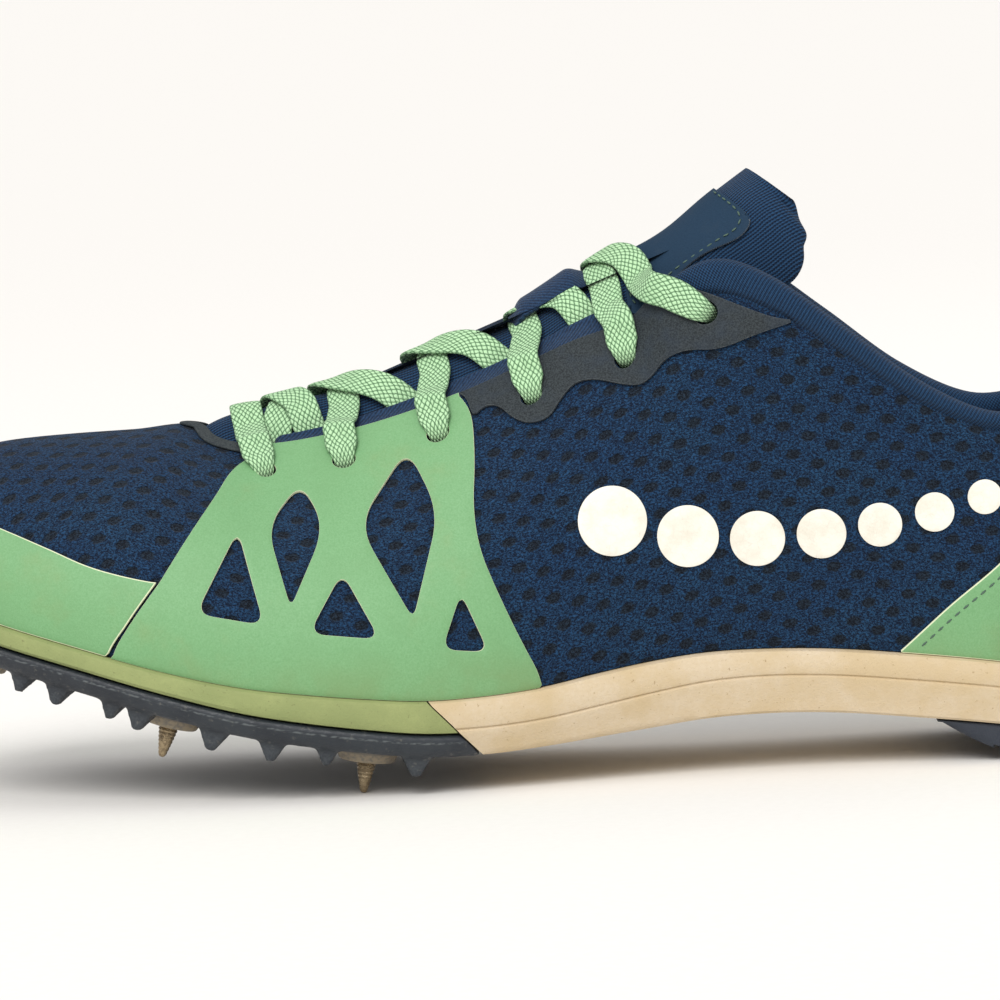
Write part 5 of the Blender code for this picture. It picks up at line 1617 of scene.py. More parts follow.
def out_of_eyelet(eyelet, side, slant=0.0):
    """A lace's way out of its eyelet and up to the throat's edge."""
    turn = eyelet_turn(eyelet, side)
    length = rib_length(turn)
    spot, normal = (np.array(v) for v in eyelet_spot(eyelet, side))
    edge = skin(turn + side * slant * 0.5, 1 - eyelet[1] * 0.5 / length)[0]
    towards = edge - spot
    towards -= normal * towards.dot(normal)
    towards /= np.linalg.norm(towards)
    half = LACE_THICKNESS / 2
    low = GAP + LAYER + 0.0004 + half
    rows = [
        [*(spot - normal * 0.0062 - towards * 0.0022), *(-towards), 0.0040, 0.0021],
        [*(spot - normal * 0.0030 - towards * 0.0008), *(-towards), 0.0041, 0.0021],
        [*(spot + normal * 0.0001), *(normal * 0.35 - towards), 0.0044, 0.0021],
        [*(spot + normal * low * 0.95 + towards * 0.0014), *(normal - towards * 0.25), 0.0056, 0.0018],
    ]
    for part, lift in ((0.60, 0.0002), (0.35, 0.0006), (0.05, 0.0013)):
        here = turn + side * slant * (1 - part)
        up = 1 - eyelet[1] * part / rib_length(here)
        out = skin_normal(here, up)[0]
        rows.append([*(skin(here, up)[0] + out * (low + lift)), *out, LACE_WIDTH, LACE_THICKNESS])
    return rows


def under_edge(eyelet, side):
    """A lace's way from its eyelet's inner side to the tongue, under the throat's edge."""
    turn = eyelet_turn(eyelet, side)
    length = rib_length(turn)
    rows = []
    for below, deep, wide in ((eyelet[1] - 0.0003, 0.0016, 0.0046), (eyelet[1] - 0.0026, 0.0024, 0.0060),
                              (eyelet[1] - 0.0055, 0.0026, LACE_WIDTH)):
        up = 1 - below / length
        out = skin_normal(turn, up)[0]
        rows.append([*(skin(turn, up)[0] - out * (WALL + deep - 0.0008)), *out, wide, LACE_THICKNESS])
    return rows


def lace_line(origin, side, goal, from_outside, to_outside, slide, raised=0.0, slants=(0.0, 0.0)):
    """Middle line of a strap over the tongue with its normals, widths and thickness."""
    over_edge = TONGUE_CLEAR + WALL + GAP + LAYER + CLEARANCE
    half = LACE_THICKNESS / 2
    first = along_of_turn(eyelet_turn(origin, -1))
    steps = np.linspace(0.0, 1.0, LACE_STEPS)
    alongs = first + hermite(LACE_KNOTS, slide, steps)
    rows = []
    for step, along in zip(steps, alongs):
        across = side * (1 - 2 * step) * TUCK
        from_start = step if from_outside else 1.0
        to_end = 1 - step if to_outside else 1.0
        nearest = min(from_start, to_end)
        height = over_edge * float(smooth_step(1 - nearest / EDGE_BLEND))
        height = max(height, raised * float(smooth_step((0.36 - abs(step - 0.5)) / 0.20)))
        sunk = min(1.0 if from_outside else step, 1.0 if to_outside else 1 - step)
        height -= 0.0009 * float(smooth_step((0.26 - sunk) / 0.10))
        height += CLEARANCE / 2 + half
        normal = tongue_normal(across, along)
        rows.append([*(tongue_face(across, along) + normal * height), *normal, LACE_WIDTH, LACE_THICKNESS])
    start = out_of_eyelet(origin, side, slants[0]) if from_outside else under_edge(origin, side)
    end = under_edge(goal, -side)[::-1]
    if to_outside:
        end = out_of_eyelet(goal, -side, slants[1])[::-1]
    trim = 6 if from_outside else 3
    trim_end = 3
    if to_outside:
        trim_end = 6 if slants[1] < 0.5 else 9
    return np.array(start + rows[trim:-trim_end] + end)


def build_laces():
    woven = lace_weave()
    first = EYELETS[0]
    bar = lace_line(first, -1, first, True, True, BAR_SLIDE, 0.0006, (0.15, 0.15))
    settle(flat_strap("dressed_lace_bar", bar, woven), "lace_green", "lace_bar")
    for index in range(len(EYELETS) - 1):
        ends = (EYELETS[index], EYELETS[index + 1])
        from_outside = index > 0
        to_outside = index == len(EYELETS) - 2
        for side, title in ((-1, "near"), (1, "far")):
            raised = LACE_THICKNESS + 0.0002 if side == 1 else 0.0
            slants = (0.0, 1.12 if to_outside else 0.0)
            line = lace_line(*ends[:1], side, *ends[1:], from_outside, to_outside,
                             SLIDES[(index, side)], raised, slants)
            name = f"dressed_crossing_{index + 1}_{title}"
            made = flat_strap(name, line, woven)
            settle(made, "lace_green", f"lace_crossing_{index + 1}")


def build_throat_bands():
    """The mesh's folded edge, which shows between the glued layers and the tongue."""
    alongs = np.linspace(6.0, 13.5, 130)
    spread = np.linspace(0.0, 1.0, 15)
    taper = smooth_step(np.minimum(alongs - 6.0, 13.5 - alongs) / 0.5)[:, None]
    height = 0.0016 + 0.0021 * smooth_step(spread / 0.6)[None] - 0.0030 * (1 - taper)
    made = []
    for side in (-1, 1):
        face, normal = tongue_grid(side * (BAND_INNER + (BAND_OUTER - BAND_INNER) * spread), alongs)
        points = face + normal * height[..., None]
        run = np.linalg.norm(np.diff(face[:, 0], axis=0), axis=1).cumsum() * MM
        uv = np.zeros(points.shape[:2] + (2,))
        uv[..., 0] = spread[None] * 6.0
        uv[..., 1] = np.concatenate([[0.0], run])[:, None]
        band = sheet(f"throat_band_{side}", points, uv, finish=[keeper_cloth()])
        face_upwards(band)
        apply(band, "SOLIDIFY", thickness=0.0010, offset=-1.0)
        apply(band, "BEVEL", width=0.00045, segments=3, limit_method="ANGLE",
              angle_limit=math.radians(50))
        smooth(band, 50)
        made.append(band)
    settle(join(made, "throat_bands"), "mesh_navy")


KEEPER_HALF_WIDTH = 0.19
KEEPER_RISE = 0.0025
KEEPER_THICKNESS = 0.0009
KEEPER_REACH = 0.0106
KEEPER_FORWARD = 0.76
KEEPER_BLEND = 0.48


def build_keeper():
    middle = along_of_turn((eyelet_turn(EYELETS[3], -1) + eyelet_turn(EYELETS[4], -1)) / 2)
    middle -= KEEPER_FORWARD
    step = 0.2
    pace = np.linalg.norm(tongue_face(0, middle + step) - tongue_face(0, middle - step)) / (2 * step)
    places = np.linspace(-1.0, 1.0, 61)
    acrosses = np.linspace(-1, 1, 17)
    points = np.zeros((len(places), len(acrosses), 3))
    uv = np.zeros((len(places), len(acrosses), 2))
    for r, place in enumerate(places):
        rise = 2 * GAP + KEEPER_RISE * float(smooth_step((1 - abs(place)) / KEEPER_BLEND))
        along = middle + place * KEEPER_REACH / pace
        for c, across in enumerate(acrosses):
            normal = tongue_normal(across * KEEPER_HALF_WIDTH, along)
            crown = -0.0009 * across**2
            points[r, c] = tongue_face(across * KEEPER_HALF_WIDTH, along) + normal * (rise + crown)
            uv[r, c] = across * 6.5, place * KEEPER_REACH * MM
    keeper = sheet("dressed_keeper", points, uv, finish=[keeper_cloth(), keeper_edge()])
    tidy_normals(keeper, 1e-6)
    face_upwards(keeper)
    apply(keeper, "SOLIDIFY", thickness=KEEPER_THICKNESS, offset=1.0, material_offset_rim=0)
    apply(keeper, "BEVEL", width=0.0003, segments=3, limit_method="ANGLE", angle_limit=math.radians(50))
    smooth(keeper, 50)
    settle(keeper, "knit_navy", "lace_keeper")


# Finishes

class Finish:
    """A material, built from short calls. Lengths in it are millimetres."""

    def __init__(self, name):
        self.made = bpy.data.materials.new(name)
        self.made.use_nodes = True
        self.nodes = self.made.node_tree.nodes
        self.links = self.made.node_tree.links
        self.shader = self.nodes["Principled BSDF"]

    def node(self, kind, inputs=(), **settings):
        made = self.nodes.new("ShaderNode" + kind)
        for key, value in settings.items():
            setattr(made, key, value)
        for key, value in dict(inputs).items():
            self.put(made.inputs[key], value)
        return made

    def put(self, socket, value):
        if isinstance(value, bpy.types.NodeSocket):
            self.links.new(value, socket)
        elif isinstance(value, tuple) and len(value) == 3 and socket.type == "RGBA":
            socket.default_value = (*value, 1.0)
        else:
            socket.default_value = value

    def place(self):
        """The spot in the shoe's own space, in millimetres."""
        spot = self.node("TexCoord").outputs["Object"]
        scale = (1000.0, 1000.0, 1000.0)
        return self.node("VectorMath", {0: spot, 1: scale}, operation="MULTIPLY").outputs[0]

    def cloth(self, title="cloth"):
        return self.node("UVMap", uv_map=title).outputs[0]

    def split(self, vector):
        made = self.node("SeparateXYZ", {0: vector})
        return made.outputs[0], made.outputs[1], made.outputs[2]

    def math(self, operation, first, second=0.0, third=0.0, clamp=False):
        made = self.node("Math", {0: first, 1: second, 2: third}, operation=operation)
        made.use_clamp = clamp
        return made.outputs[0]

    def scaled(self, vector, by):
        by = by if isinstance(by, tuple) else (by, by, by)
        return self.node("VectorMath", {0: vector, 1: by}, operation="MULTIPLY").outputs[0]

    def moved(self, vector, by):
        return self.node("VectorMath", {0: vector, 1: by}, operation="ADD").outputs[0]

    def noise(self, at, size, detail=3.0, rough=0.55, distortion=0.0):
        """Noise whose blotches are about a size in millimetres across."""
        made = self.node("TexNoise", {
            "Vector": at, "Scale": 1.0 / size, "Detail": detail, "Roughness": rough,
            "Distortion": distortion,
        })
        return made.outputs["Fac"]

    def cells(self, at, size, feature="F1", metric="EUCLIDEAN"):
        made = self.node("TexVoronoi", {"Vector": at, "Scale": 1.0 / size}, feature=feature)
        if feature != "DISTANCE_TO_EDGE":
            made.distance = metric
        return made.outputs["Distance"]

    def add(self, first, second):
        return self.math("ADD", first, second)

    def less(self, first, second):
        return self.math("SUBTRACT", first, second)

    def times(self, first, second):
        return self.math("MULTIPLY", first, second)

    def ramp(self, value, low, high, start=0.0, end=1.0, smooth_way=True):
        made = self.node("MapRange", {0: value, 1: low, 2: high, 3: start, 4: end})
        made.interpolation_type = "SMOOTHSTEP" if smooth_way else "LINEAR"
        return made.outputs[0]

    def mix(self, share, first, second, blend="MIX"):
        made = self.nodes.new("ShaderNodeMix")
        made.data_type = "RGBA"
        made.blend_type = blend
        self.put(made.inputs[0], share)
        self.put(made.inputs[6], first)
        self.put(made.inputs[7], second)
        return made.outputs[2]

    def wave(self, value, period):
        """A smooth up and down between 0 and 1."""
        turn = self.math("MULTIPLY", value, 2 * math.pi / period)
        return self.math("MULTIPLY_ADD", self.math("SINE", turn), 0.5, 0.5)

    def bump(self, height, depth, before=None, strength=1.0):
        made = self.node("Bump", {"Height": height, "Distance": depth, "Strength": strength})
        if before is not None:
            self.links.new(before, made.inputs["Normal"])
        return made.outputs[0]

    def done(self, colour, rough, normal=None, **fixed):
        self.put(self.shader.inputs["Base Color"], colour)
        self.put(self.shader.inputs["Roughness"], rough)
        if normal is not None:
            self.put(self.shader.inputs["Normal"], normal)
        for key, value in fixed.items():
            self.put(self.shader.inputs[key.replace("_", " ")], value)
        return self.made


MESH_DARK = (0.0022, 0.0070, 0.0215)
MESH_PALE_A = (0.0088, 0.0455, 0.1180)
MESH_PALE_B = (0.0115, 0.0535, 0.1240)
LACE_LOW = (0.080, 0.190, 0.085)
LACE_HIGH = (0.470, 0.720, 0.430)
KNIT_DARK = (0.0022, 0.0075, 0.0230)
KNIT_PALE = (0.0170, 0.0610, 0.1400)
KEPT = {}


def once(maker):
    """Makes a finish the first time that a piece asks for it."""
    def give():
        if maker.__name__ not in KEPT:
            KEPT[maker.__name__] = maker()
        return KEPT[maker.__name__]
    return give


@once
def mesh_cloth():
    """Blue mesh with a wormy grain and oval dimples in slanted rows."""
    f = Finish("mesh_cloth")
    cloth = f.cloth()
    x, y, _ = f.split(cloth)
    wobble = f.noise(cloth, 9.0, 2.0)
    s = f.add(f.times(x, 0.1521), f.times(y, -0.1195))
    t = f.add(f.times(x, -0.0634), f.times(y, -0.1884))
    s = f.add(s, f.times(wobble, 0.22))
    t = f.add(t, f.times(wobble, 0.12))
    s = f.less(s, f.math("ROUND", s))
    t = f.less(t, f.math("ROUND", t))
    px = f.add(f.times(s, 5.20), f.times(t, -3.30))
    py = f.add(f.times(s, -1.75), f.times(t, -4.20))
    along = f.add(f.times(px, 0.955), f.times(py, 0.295))
    over = f.add(f.times(px, -0.295), f.times(py, 0.955))
    oval = f.math("SQRT", f.add(
        f.math("POWER", f.math("ABSOLUTE", f.times(along, 0.58)), 2.0),
        f.math("POWER", f.math("ABSOLUTE", f.times(over, 0.86)), 2.0),
    ))
    edge = f.add(oval, f.times(f.noise(cloth, 0.7, 2.0), 0.45))
    dimple = f.ramp(edge, 1.32, 0.92)
    worms = f.noise(f.scaled(cloth, (0.85, 1.15, 1.0)), 0.40, 1.2, 0.5, 1.0)
    worms = f.ramp(worms, 0.36, 0.66)
    pebble = f.cells(cloth, 0.55)
    broad = f.ramp(f.noise(cloth, 20.0, 2.0), 0.35, 0.7)
    pale = f.mix(broad, MESH_PALE_A, MESH_PALE_B)
    tone = f.mix(worms, MESH_DARK, pale)
    speck = f.mix(f.times(worms, 0.8), (0.0012, 0.0028, 0.0065), (0.013, 0.026, 0.044))
    colour = f.mix(f.times(dimple, 0.95), tone, speck)
    height = f.less(f.times(worms, 0.40), f.times(dimple, 1.0))
    height = f.less(height, f.times(pebble, 0.20))
    normal = f.bump(height, 0.00042)
    rough = f.ramp(worms, 0.0, 1.0, 0.90, 0.74)
    return f.done(colour, rough, normal, Sheen_Weight=0.04, Sheen_Roughness=0.5,
                  Specular_IOR_Level=0.18)


@once
def collar_knit():
    """Blue knit of the collar's roll, with a fine slanted grain."""
    f = Finish("collar_knit")
    cloth = f.cloth("band")
    x, y, _ = f.split(cloth)
    first = f.wave(f.add(f.times(x, 0.8), f.times(y, 0.9)), 0.62)
    second = f.wave(f.less(x, f.times(y, 0.55)), 0.78)
    fuzz = f.noise(cloth, 0.34, 3.0, 0.6, 0.8)
    yarn = f.times(f.add(first, second), 0.28)
    yarn = f.add(yarn, f.times(fuzz, 0.62))
    share = f.ramp(yarn, 0.36, 0.88)
    colour = f.mix(share, KNIT_DARK, KNIT_PALE)
    normal = f.bump(yarn, 0.00026)
    return f.done(colour, 0.88, normal, Sheen_Weight=0.06, Sheen_Roughness=0.5, Specular_IOR_Level=0.18)


@once
def lining_cloth():
    """Darker lining with rows of ribbed dots."""
    f = Finish("lining_cloth")
    x, y, _ = f.split(f.cloth("band"))
    odd = f.math("FLOOR", f.math("DIVIDE", y, 1.5))
    shifted = f.add(x, f.times(odd, 1.05))
    rows = f.wave(y, 1.5)
    dots = f.wave(shifted, 2.1)
    bead = f.times(rows, dots)
    fuzz = f.noise(f.cloth("band"), 0.4, 3.0)
    share = f.add(f.times(bead, 0.7), f.times(fuzz, 0.4))
    colour = f.mix(f.ramp(share, 0.15, 0.9), (0.004, 0.012, 0.036), (0.016, 0.048, 0.125))
    normal = f.bump(share, 0.00035)
    return f.done(colour, 0.9, normal, Sheen_Weight=0.12, Specular_IOR_Level=0.2)


def green_skin(name, pale):
    f = Finish(name)
    place = f.place()
    grain = f.noise(place, 0.38, 3.0, 0.65)
    blotch = f.noise(place, 13.0, 4.0, 0.6)
    stain = f.ramp(f.noise(f.moved(place, (31.0, 7.0, 3.0)), 24.0, 5.0, 0.65), 0.53, 0.74)
    low = f.split(place)[2]
    # The pale version is for the cut edges and bevels: partly their own paler edge, partly a painted
    # highlight along it.
    if pale:
        colour = f.mix(grain, (0.60, 0.66, 0.42), (0.74, 0.76, 0.55))
        colour = f.mix(f.times(stain, 0.4), colour, (0.45, 0.42, 0.22))
        return f.done(colour, 0.7, f.bump(grain, 0.00008))
    base = f.mix(f.ramp(grain, 0.3, 0.7), (0.146, 0.328, 0.142), (0.184, 0.380, 0.180))
    base = f.mix(f.ramp(blotch, 0.40, 0.70, 0.0, 0.35), base, (0.151, 0.316, 0.139))
    base = f.mix(f.times(stain, 0.28), base, (0.242, 0.282, 0.110))
    # Painted shade: the green darkens in patches from 34 mm down to 20 mm above the floor.
    painted_low_shade = f.times(f.ramp(low, 34.0, 20.0), f.ramp(blotch, 0.35, 0.65, 0.15, 0.55))
    base = f.mix(painted_low_shade, base, (0.190, 0.269, 0.106))
    rough = f.ramp(grain, 0.2, 0.8, 0.60, 0.50)
    normal = f.bump(grain, 0.00007)
    return f.done(base, rough, normal, Specular_IOR_Level=0.35)


@once
def green_layer():
    return green_skin("green_layer", False)


# Cut edge of the green layers: partly its own paler colour, partly a painted highlight.
@once
def green_cut_edge_and_highlight():
    return green_skin("green_cut_edge_and_highlight", True)


def grey_skin(name, light):
    f = Finish(name)
    place = f.place()
    grain = f.noise(place, 0.34, 3.0, 0.7)
    broad = f.noise(place, 8.0, 3.0)
    low, high = ((0.008, 0.012, 0.015), (0.036, 0.046, 0.052))
    # The light version is for the cut edges and bevels: partly their own paler edge, partly a painted
    # highlight along it.
    if light:
        low, high = ((0.022, 0.028, 0.034), (0.075, 0.086, 0.092))
    colour = f.mix(f.ramp(grain, 0.34, 0.66), low, high)
    colour = f.mix(f.ramp(broad, 0.45, 0.7, 0.0, 0.4), colour, (0.020, 0.034, 0.058))
    return f.done(colour, 0.72, f.bump(grain, 0.00012), Specular_IOR_Level=0.3)


@once
def grey_layer():
    return grey_skin("grey_layer", False)


# Cut edge of the grey layers: partly its own paler colour, partly a painted highlight.
@once
def grey_cut_edge_and_highlight():
    return grey_skin("grey_cut_edge_and_highlight", True)


@once
def trim_layer():
    f = Finish("trim_layer")
    place = f.place()
    grain = f.noise(place, 0.40, 3.0, 0.7)
    colour = f.mix(f.ramp(grain, 0.3, 0.7), (0.012, 0.018, 0.024), (0.050, 0.060, 0.062))
    return f.done(colour, 0.75, f.bump(grain, 0.00012), Specular_IOR_Level=0.3)


@once
def dot_film():
    """Cream film of the plain dots, a little stained and cracked."""
    f = Finish("dot_film")
    place = f.place()
    grain = f.noise(place, 0.5, 3.0, 0.6)
    blotch = f.noise(place, 6.0, 5.0, 0.65)
    crack = f.cells(place, 1.6, "DISTANCE_TO_EDGE")
    colour = f.mix(f.ramp(blotch, 0.35, 0.7), (0.80, 0.765, 0.68), (0.66, 0.62, 0.52))
    colour = f.mix(f.ramp(crack, 0.03, 0.0, 0.0, 0.25), colour, (0.45, 0.42, 0.36))
    colour = f.mix(f.times(grain, 0.25), colour, (0.86, 0.83, 0.76))
    return f.done(colour, 0.6, f.bump(grain, 0.00010))


@once
def thread():
    f = Finish("thread")
    place = f.place()
    twist = f.noise(place, 0.25, 2.0)
    colour = f.mix(twist, (0.030, 0.060, 0.050), (0.10, 0.17, 0.12))
    return f.done(colour, 0.7, f.bump(twist, 0.00010))


@once
def lace_weave():
    """Flat green lace, braided so that its strands cross in narrow diamonds."""
    f = Finish("lace_weave")
    x, y, _ = f.split(f.cloth())
    drift = f.times(f.noise(f.cloth(), 1.7, 2.0), 0.85)
    up = f.add(f.add(f.times(x, 0.98), f.times(y, 0.66)), drift)
    down = f.add(f.less(f.times(x, 0.98), f.times(y, 0.66)), drift)
    first = f.math("POWER", f.wave(up, 1.10), 0.30)
    second = f.math("POWER", f.wave(down, 1.10), 0.30)
    fuzz = f.noise(f.scaled(f.cloth(), (1.0, 0.5, 1.0)), 0.30, 3.0, 0.6)
    high = f.times(first, second)
    high = f.add(f.times(high, 0.80), f.times(fuzz, 0.32))
    edge = f.ramp(f.math("ABSOLUTE", x), 3.05, 3.45)
    colour = f.mix(f.ramp(high, 0.20, 0.80), LACE_LOW, LACE_HIGH)
    colour = f.mix(f.times(edge, 0.45), colour, (0.050, 0.120, 0.055))
    broad = f.noise(f.cloth(), 9.0, 3.0)
    colour = f.mix(f.ramp(broad, 0.45, 0.75, 0.0, 0.30), colour, (0.20, 0.37, 0.19))
    return f.done(colour, 0.85, f.bump(high, 0.00034), Sheen_Weight=0.05, Sheen_Roughness=0.5,
                  Specular_IOR_Level=0.2)


@once
def tongue_knit():
    """Fine ribbed blue knit."""
    f = Finish("tongue_knit")
    x, y, _ = f.split(f.cloth())
    place = f.cloth()
    wander = f.noise(place, 5.0, 2.0)
    rib = f.wave(f.add(x, f.times(wander, 0.7)), 0.74)
    loop = f.wave(f.add(y, f.times(rib, 0.30)), 0.66)
    fuzz = f.noise(place, 0.30, 3.0, 0.6)
    high = f.add(f.times(rib, 0.50), f.times(loop, 0.26))
    high = f.add(high, f.times(fuzz, 0.40))
    colour = f.mix(f.ramp(high, 0.30, 0.92), KNIT_DARK, KNIT_PALE)
    return f.done(colour, 0.88, f.bump(high, 0.00034), Sheen_Weight=0.06, Sheen_Roughness=0.5,
                  Specular_IOR_Level=0.18)


@once
def keeper_cloth():
    f = Finish("keeper_cloth")
    x, y, _ = f.split(f.cloth())
    fuzz = f.noise(f.cloth(), 0.4, 3.0, 0.65, 0.8)
    weave = f.wave(f.add(x, f.times(y, 0.7)), 0.8)
    high = f.add(f.times(weave, 0.22), f.times(fuzz, 0.80))
    colour = f.mix(f.ramp(high, 0.25, 0.9), (0.0030, 0.0100, 0.0300), (0.0210, 0.0640, 0.1500))
    return f.done(colour, 0.85, f.bump(high, 0.00028), Sheen_Weight=0.12, Specular_IOR_Level=0.2)


@once
def keeper_edge():
    f = Finish("keeper_edge")
    fuzz = f.noise(f.place(), 0.4, 3.0)
    colour = f.mix(fuzz, (0.03, 0.07, 0.14), (0.10, 0.16, 0.24))
    return f.done(colour, 0.85, f.bump(fuzz, 0.0001))


@once
def label_film():
    """Smooth navy label with a faint grain, worn a little."""
    f = Finish("label_film")
    place = f.place()
    grain = f.noise(place, 0.35, 3.0, 0.6)
    worn = f.ramp(f.noise(place, 5.0, 4.0), 0.5, 0.75, 0.0, 0.3)
    colour = f.mix(grain, (0.009, 0.026, 0.052), (0.019, 0.046, 0.086))
    colour = f.mix(worn, colour, (0.024, 0.044, 0.072))
    return f.done(colour, 0.75, f.bump(grain, 0.00009), Specular_IOR_Level=0.14)


@once
def label_edge():
    f = Finish("label_edge")
    grain = f.noise(f.place(), 0.3, 3.0)
    colour = f.mix(grain, (0.060, 0.085, 0.12), (0.16, 0.19, 0.22))
    return f.done(colour, 0.6, f.bump(grain, 0.00007))


def foam(name, light, dark, speck):
    f = Finish(name)
    place = f.place()
    grain = f.noise(place, 0.45, 4.0, 0.65)
    broad = f.noise(place, 15.0, 4.0, 0.6)
    sand = f.noise(place, 0.9, 3.0, 0.7)
    specks = f.ramp(f.noise(f.moved(place, (5.0, 9.0, 2.0)), 0.9, 3.0, 0.7), 0.64, 0.72)
    colour = f.mix(f.ramp(broad, 0.35, 0.65), light, dark)
    colour = f.mix(f.ramp(sand, 0.35, 0.65, 0.0, 0.35), colour, dark)
    colour = f.mix(f.times(specks, 0.65), colour, speck)
    rough = f.ramp(grain, 0.2, 0.8, 0.80, 0.66)
    return f.done(colour, rough, f.bump(grain, 0.00016), Specular_IOR_Level=0.25)


@once
def cream_foam():
    return foam("cream_foam", (0.61, 0.505, 0.365), (0.55, 0.430, 0.265), (0.30, 0.20, 0.10))


@once
def olive_foam():
    return foam("olive_foam", (0.305, 0.345, 0.142), (0.250, 0.290, 0.118), (0.12, 0.11, 0.05))


@once
def plate_plastic():
    """Dark slate moulded plastic with a scratched line under its top edge."""
    f = Finish("plate_plastic")
    place = f.place()
    level = f.node("Attribute", attribute_name="level").outputs["Fac"]
    grain = f.noise(place, 0.5, 4.0, 0.65)
    broad = f.noise(place, 10.0, 4.0)
    scratch = f.noise(f.scaled(place, (0.60, 0.60, 1.6)), 0.9, 1.2, 0.7)
    colour = f.mix(f.ramp(broad, 0.35, 0.65), (0.009, 0.013, 0.020), (0.018, 0.024, 0.032))
    away = f.math("ABSOLUTE", f.add(level, 1.7))
    line = f.times(f.ramp(away, 0.35, 0.05), f.ramp(scratch, 0.40, 0.62))
    colour = f.mix(f.times(line, 0.7), colour, (0.12, 0.135, 0.14))
    worn = f.times(f.ramp(level, -4.5, -7.0), f.ramp(grain, 0.35, 0.65))
    colour = f.mix(f.times(worn, 0.5), colour, (0.055, 0.064, 0.072))
    dust = f.ramp(f.noise(place, 1.4, 4.0, 0.7), 0.58, 0.72)
    colour = f.mix(f.times(dust, 0.35), colour, (0.20, 0.19, 0.16))
    rough = f.ramp(scratch, 0.3, 0.7, 0.38, 0.56)
    return f.done(colour, rough, f.bump(grain, 0.00012), Specular_IOR_Level=0.5)


@once
def heel_rubber():
    f = Finish("heel_rubber")
    place = f.place()
    grain = f.noise(place, 0.5, 4.0, 0.65)
    broad = f.noise(place, 9.0, 4.0)
    colour = f.mix(broad, (0.020, 0.026, 0.040), (0.050, 0.058, 0.075))
    low = f.split(place)[2]
    dusty = f.times(f.ramp(low, 0.8, 0.0), f.ramp(grain, 0.35, 0.65))
    colour = f.mix(f.times(dusty, 0.6), colour, (0.20, 0.18, 0.15))
    return f.done(colour, 0.78, f.bump(grain, 0.00018), Specular_IOR_Level=0.35)


@once
def seat_plastic():
    """Grey brown moulded seat, bronze where its rim is rubbed."""
    f = Finish("seat_plastic")
    y = f.split(f.cloth())[1]
    place = f.place()
    grain = f.noise(place, 0.5, 4.0, 0.65)
    colour = f.mix(grain, (0.12, 0.105, 0.085), (0.24, 0.21, 0.17))
    rim = f.times(f.ramp(y, 1.0, 1.4), f.ramp(f.noise(place, 0.8, 3.0), 0.35, 0.6))
    colour = f.mix(f.times(rim, 0.45), colour, (0.42, 0.33, 0.20))
    return f.done(colour, 0.45, f.bump(grain, 0.00008))


@once
def pin_metal():
    """Worn golden brown steel, dark where it is rusty."""
    f = Finish("pin_metal")
    place = f.place()
    grain = f.noise(place, 0.45, 4.0, 0.7)
    rust = f.ramp(f.noise(place, 1.1, 4.0, 0.7), 0.42, 0.68)
    colour = f.mix(grain, (0.30, 0.225, 0.135), (0.46, 0.37, 0.24))
    colour = f.mix(f.times(rust, 0.60), colour, (0.085, 0.055, 0.030))
    rough = f.ramp(rust, 0.0, 1.0, 0.25, 0.50)
    metal = f.ramp(rust, 0.0, 1.0, 1.0, 0.70)
    return f.done(colour, rough, f.bump(grain, 0.00012), Metallic=metal)


@once
def insole_cloth():
    f = Finish("insole_cloth")
    place = f.place()
    x, y, _ = f.split(place)
    weave = f.times(f.wave(f.add(x, y), 0.9), f.wave(f.less(x, y), 0.9))
    fuzz = f.noise(place, 0.4, 3.0)
    high = f.add(f.times(weave, 0.6), f.times(fuzz, 0.5))
    worn = f.ramp(f.noise(place, 18.0, 3.0), 0.45, 0.7, 0.0, 0.4)
    colour = f.mix(f.ramp(high, 0.2, 0.9), (0.007, 0.018, 0.045), (0.024, 0.058, 0.125))
    colour = f.mix(worn, colour, (0.045, 0.060, 0.080))
    return f.done(colour, 0.9, f.bump(high, 0.00025), Specular_IOR_Level=0.2)


# Studio: the floor, the room's even light, a low sun through a window, and three lamps.

FLOOR_LOW = (0.880, 0.862, 0.836)
FLOOR_HIGH = (0.895, 0.878, 0.853)
FLOOR_RADIUS = 120.0
ROOM_COLOUR = (1.0, 0.992, 0.985, 1.0)
ROOM_STRENGTH = 0.63
SUN_COLOUR = (1.0, 0.988, 0.965)
SUN_ENERGY = 2.40
SUN_ANGLE = math.radians(34)
SUN_WAY = Vector((0.20, 0.72, -0.62))
# Name, place, point that it lights, diameter, power and colour.
LAMPS = (
    ("overhead", (-0.12, -0.25, 1.35), (-0.12, 0.0, 0.02), 1.2, 1.6, (1.0, 0.99, 0.975)),
    ("front_left", (-0.95, -1.25, 0.95), (-0.12, 0.0, 0.05), 0.9, 0.3, (1.0, 0.99, 0.97)),
    ("back_right", (0.9, 1.1, 0.9), (-0.08, 0.0, 0.05), 0.9, 1.2, (0.97, 0.985, 1.0)),
)
LENS = 220.0
SENSOR_WIDTH = 36.0
AIM = Vector((-0.1229, -0.033, 0.0617))
DISTANCE = 1.302
LOOK_DOWN = math.radians(5.0)
ROLL = math.radians(2.7)


def floor_card():
    f = Finish("floor_card")
    spot = f.node("TexCoord").outputs["Object"]
    grain = f.node("TexNoise", {"Vector": spot, "Scale": 420.0, "Detail": 3.0}).outputs["Fac"]
    colour = f.mix(f.ramp(grain, 0.3, 0.7), FLOOR_LOW, FLOOR_HIGH)
    return f.done(colour, 0.95, f.bump(grain, 0.00002), Specular_IOR_Level=0.05)


def put_in_scene(name, data):
    holder = bpy.data.objects.new(name, data)
    bpy.context.scene.collection.objects.link(holder)
    return holder


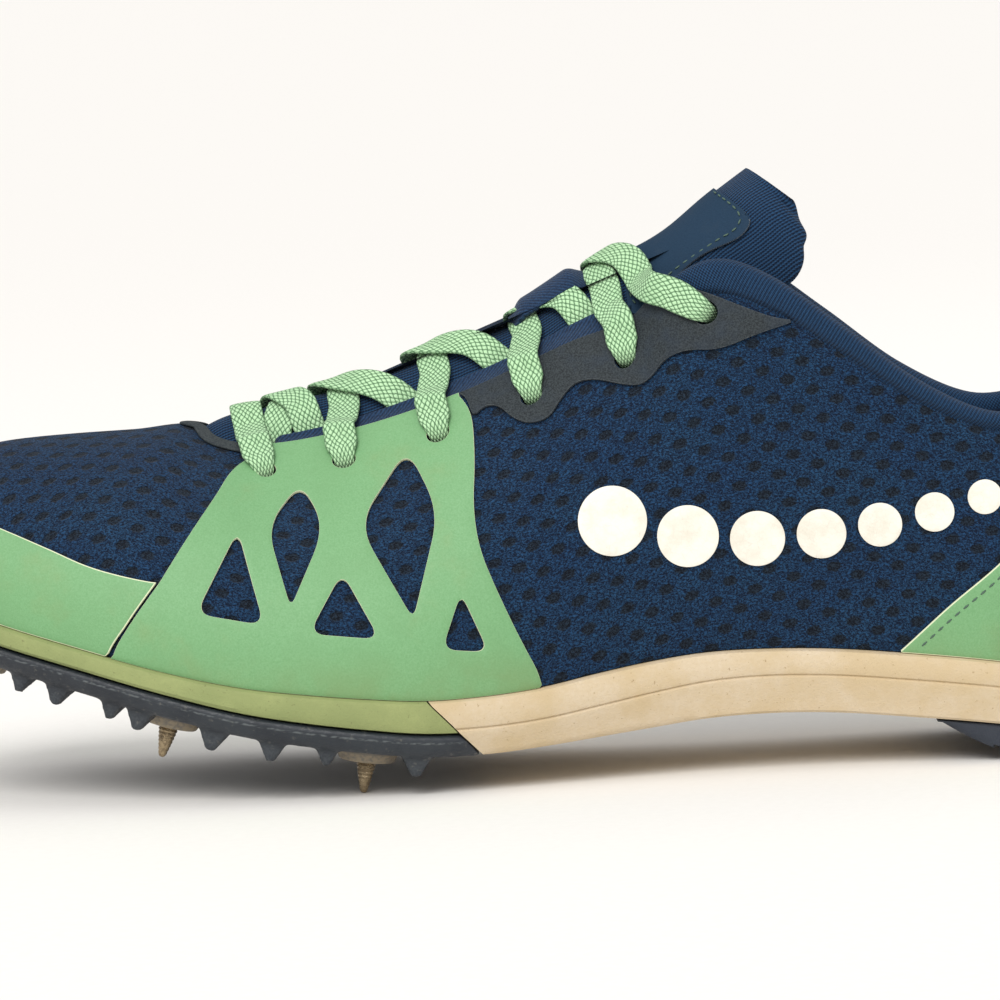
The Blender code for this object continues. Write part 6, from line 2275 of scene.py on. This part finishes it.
def build_studio():
    clear_selection()
    bpy.ops.mesh.primitive_circle_add(vertices=96, radius=FLOOR_RADIUS, fill_type="NGON")
    floor = bpy.context.object
    name_it(floor, "floor")
    floor.data.materials.append(floor_card())
    world = bpy.data.worlds.new("soft_room")
    bpy.context.scene.world = world
    world.use_nodes = True
    back = world.node_tree.nodes["Background"]
    back.inputs["Color"].default_value = ROOM_COLOUR
    back.inputs["Strength"].default_value = ROOM_STRENGTH
    sun = bpy.data.lights.new("window", "SUN")
    sun.energy = SUN_ENERGY
    sun.angle = SUN_ANGLE
    sun.color = SUN_COLOUR
    put_in_scene("window", sun).rotation_euler = SUN_WAY.to_track_quat("-Z", "Y").to_euler()
    for name, spot, aim, size, power, colour in LAMPS:
        light = bpy.data.lights.new(name, "AREA")
        light.shape = "DISK"
        light.size = size
        light.energy = power
        light.color = colour
        holder = put_in_scene(name, light)
        holder.location = spot
        way = Vector(aim) - Vector(spot)
        holder.rotation_euler = way.to_track_quat("-Z", "Y").to_euler()


def build_camera():
    lens = bpy.data.cameras.new("camera")
    lens.lens = LENS
    lens.sensor_width = SENSOR_WIDTH
    lens.clip_start = 0.05
    lens.clip_end = 400.0
    holder = put_in_scene("camera", lens)
    ahead = Vector((0.0, math.cos(LOOK_DOWN), -math.sin(LOOK_DOWN)))
    right = Vector((1.0, 0.0, 0.0))
    up = right.cross(ahead)
    tilted = right * math.cos(ROLL) - up * math.sin(ROLL)
    stood = up * math.cos(ROLL) + right * math.sin(ROLL)
    turn = Matrix((tilted, stood, -ahead)).transposed().to_4x4()
    holder.matrix_world = Matrix.Translation(AIM - ahead * DISTANCE) @ turn
    bpy.context.scene.camera = holder
    bpy.context.scene.view_settings.view_transform = "Standard"


def main():
    build_camera()
    build_studio()
    build_upper()
    for side in (-1, 1):
        build_cage(side)
        build_eyestay(side)
        build_dots(side)
    build_rand()
    build_counter()
    settle(build_counter_stitches(), "synthetic_green")
    build_trim()
    build_midsoles()
    build_plate()
    build_pins()
    build_heel_pad()
    build_insole()
    build_tongue()
    build_label()
    build_keeper()
    build_throat_bands()
    build_laces()


main()
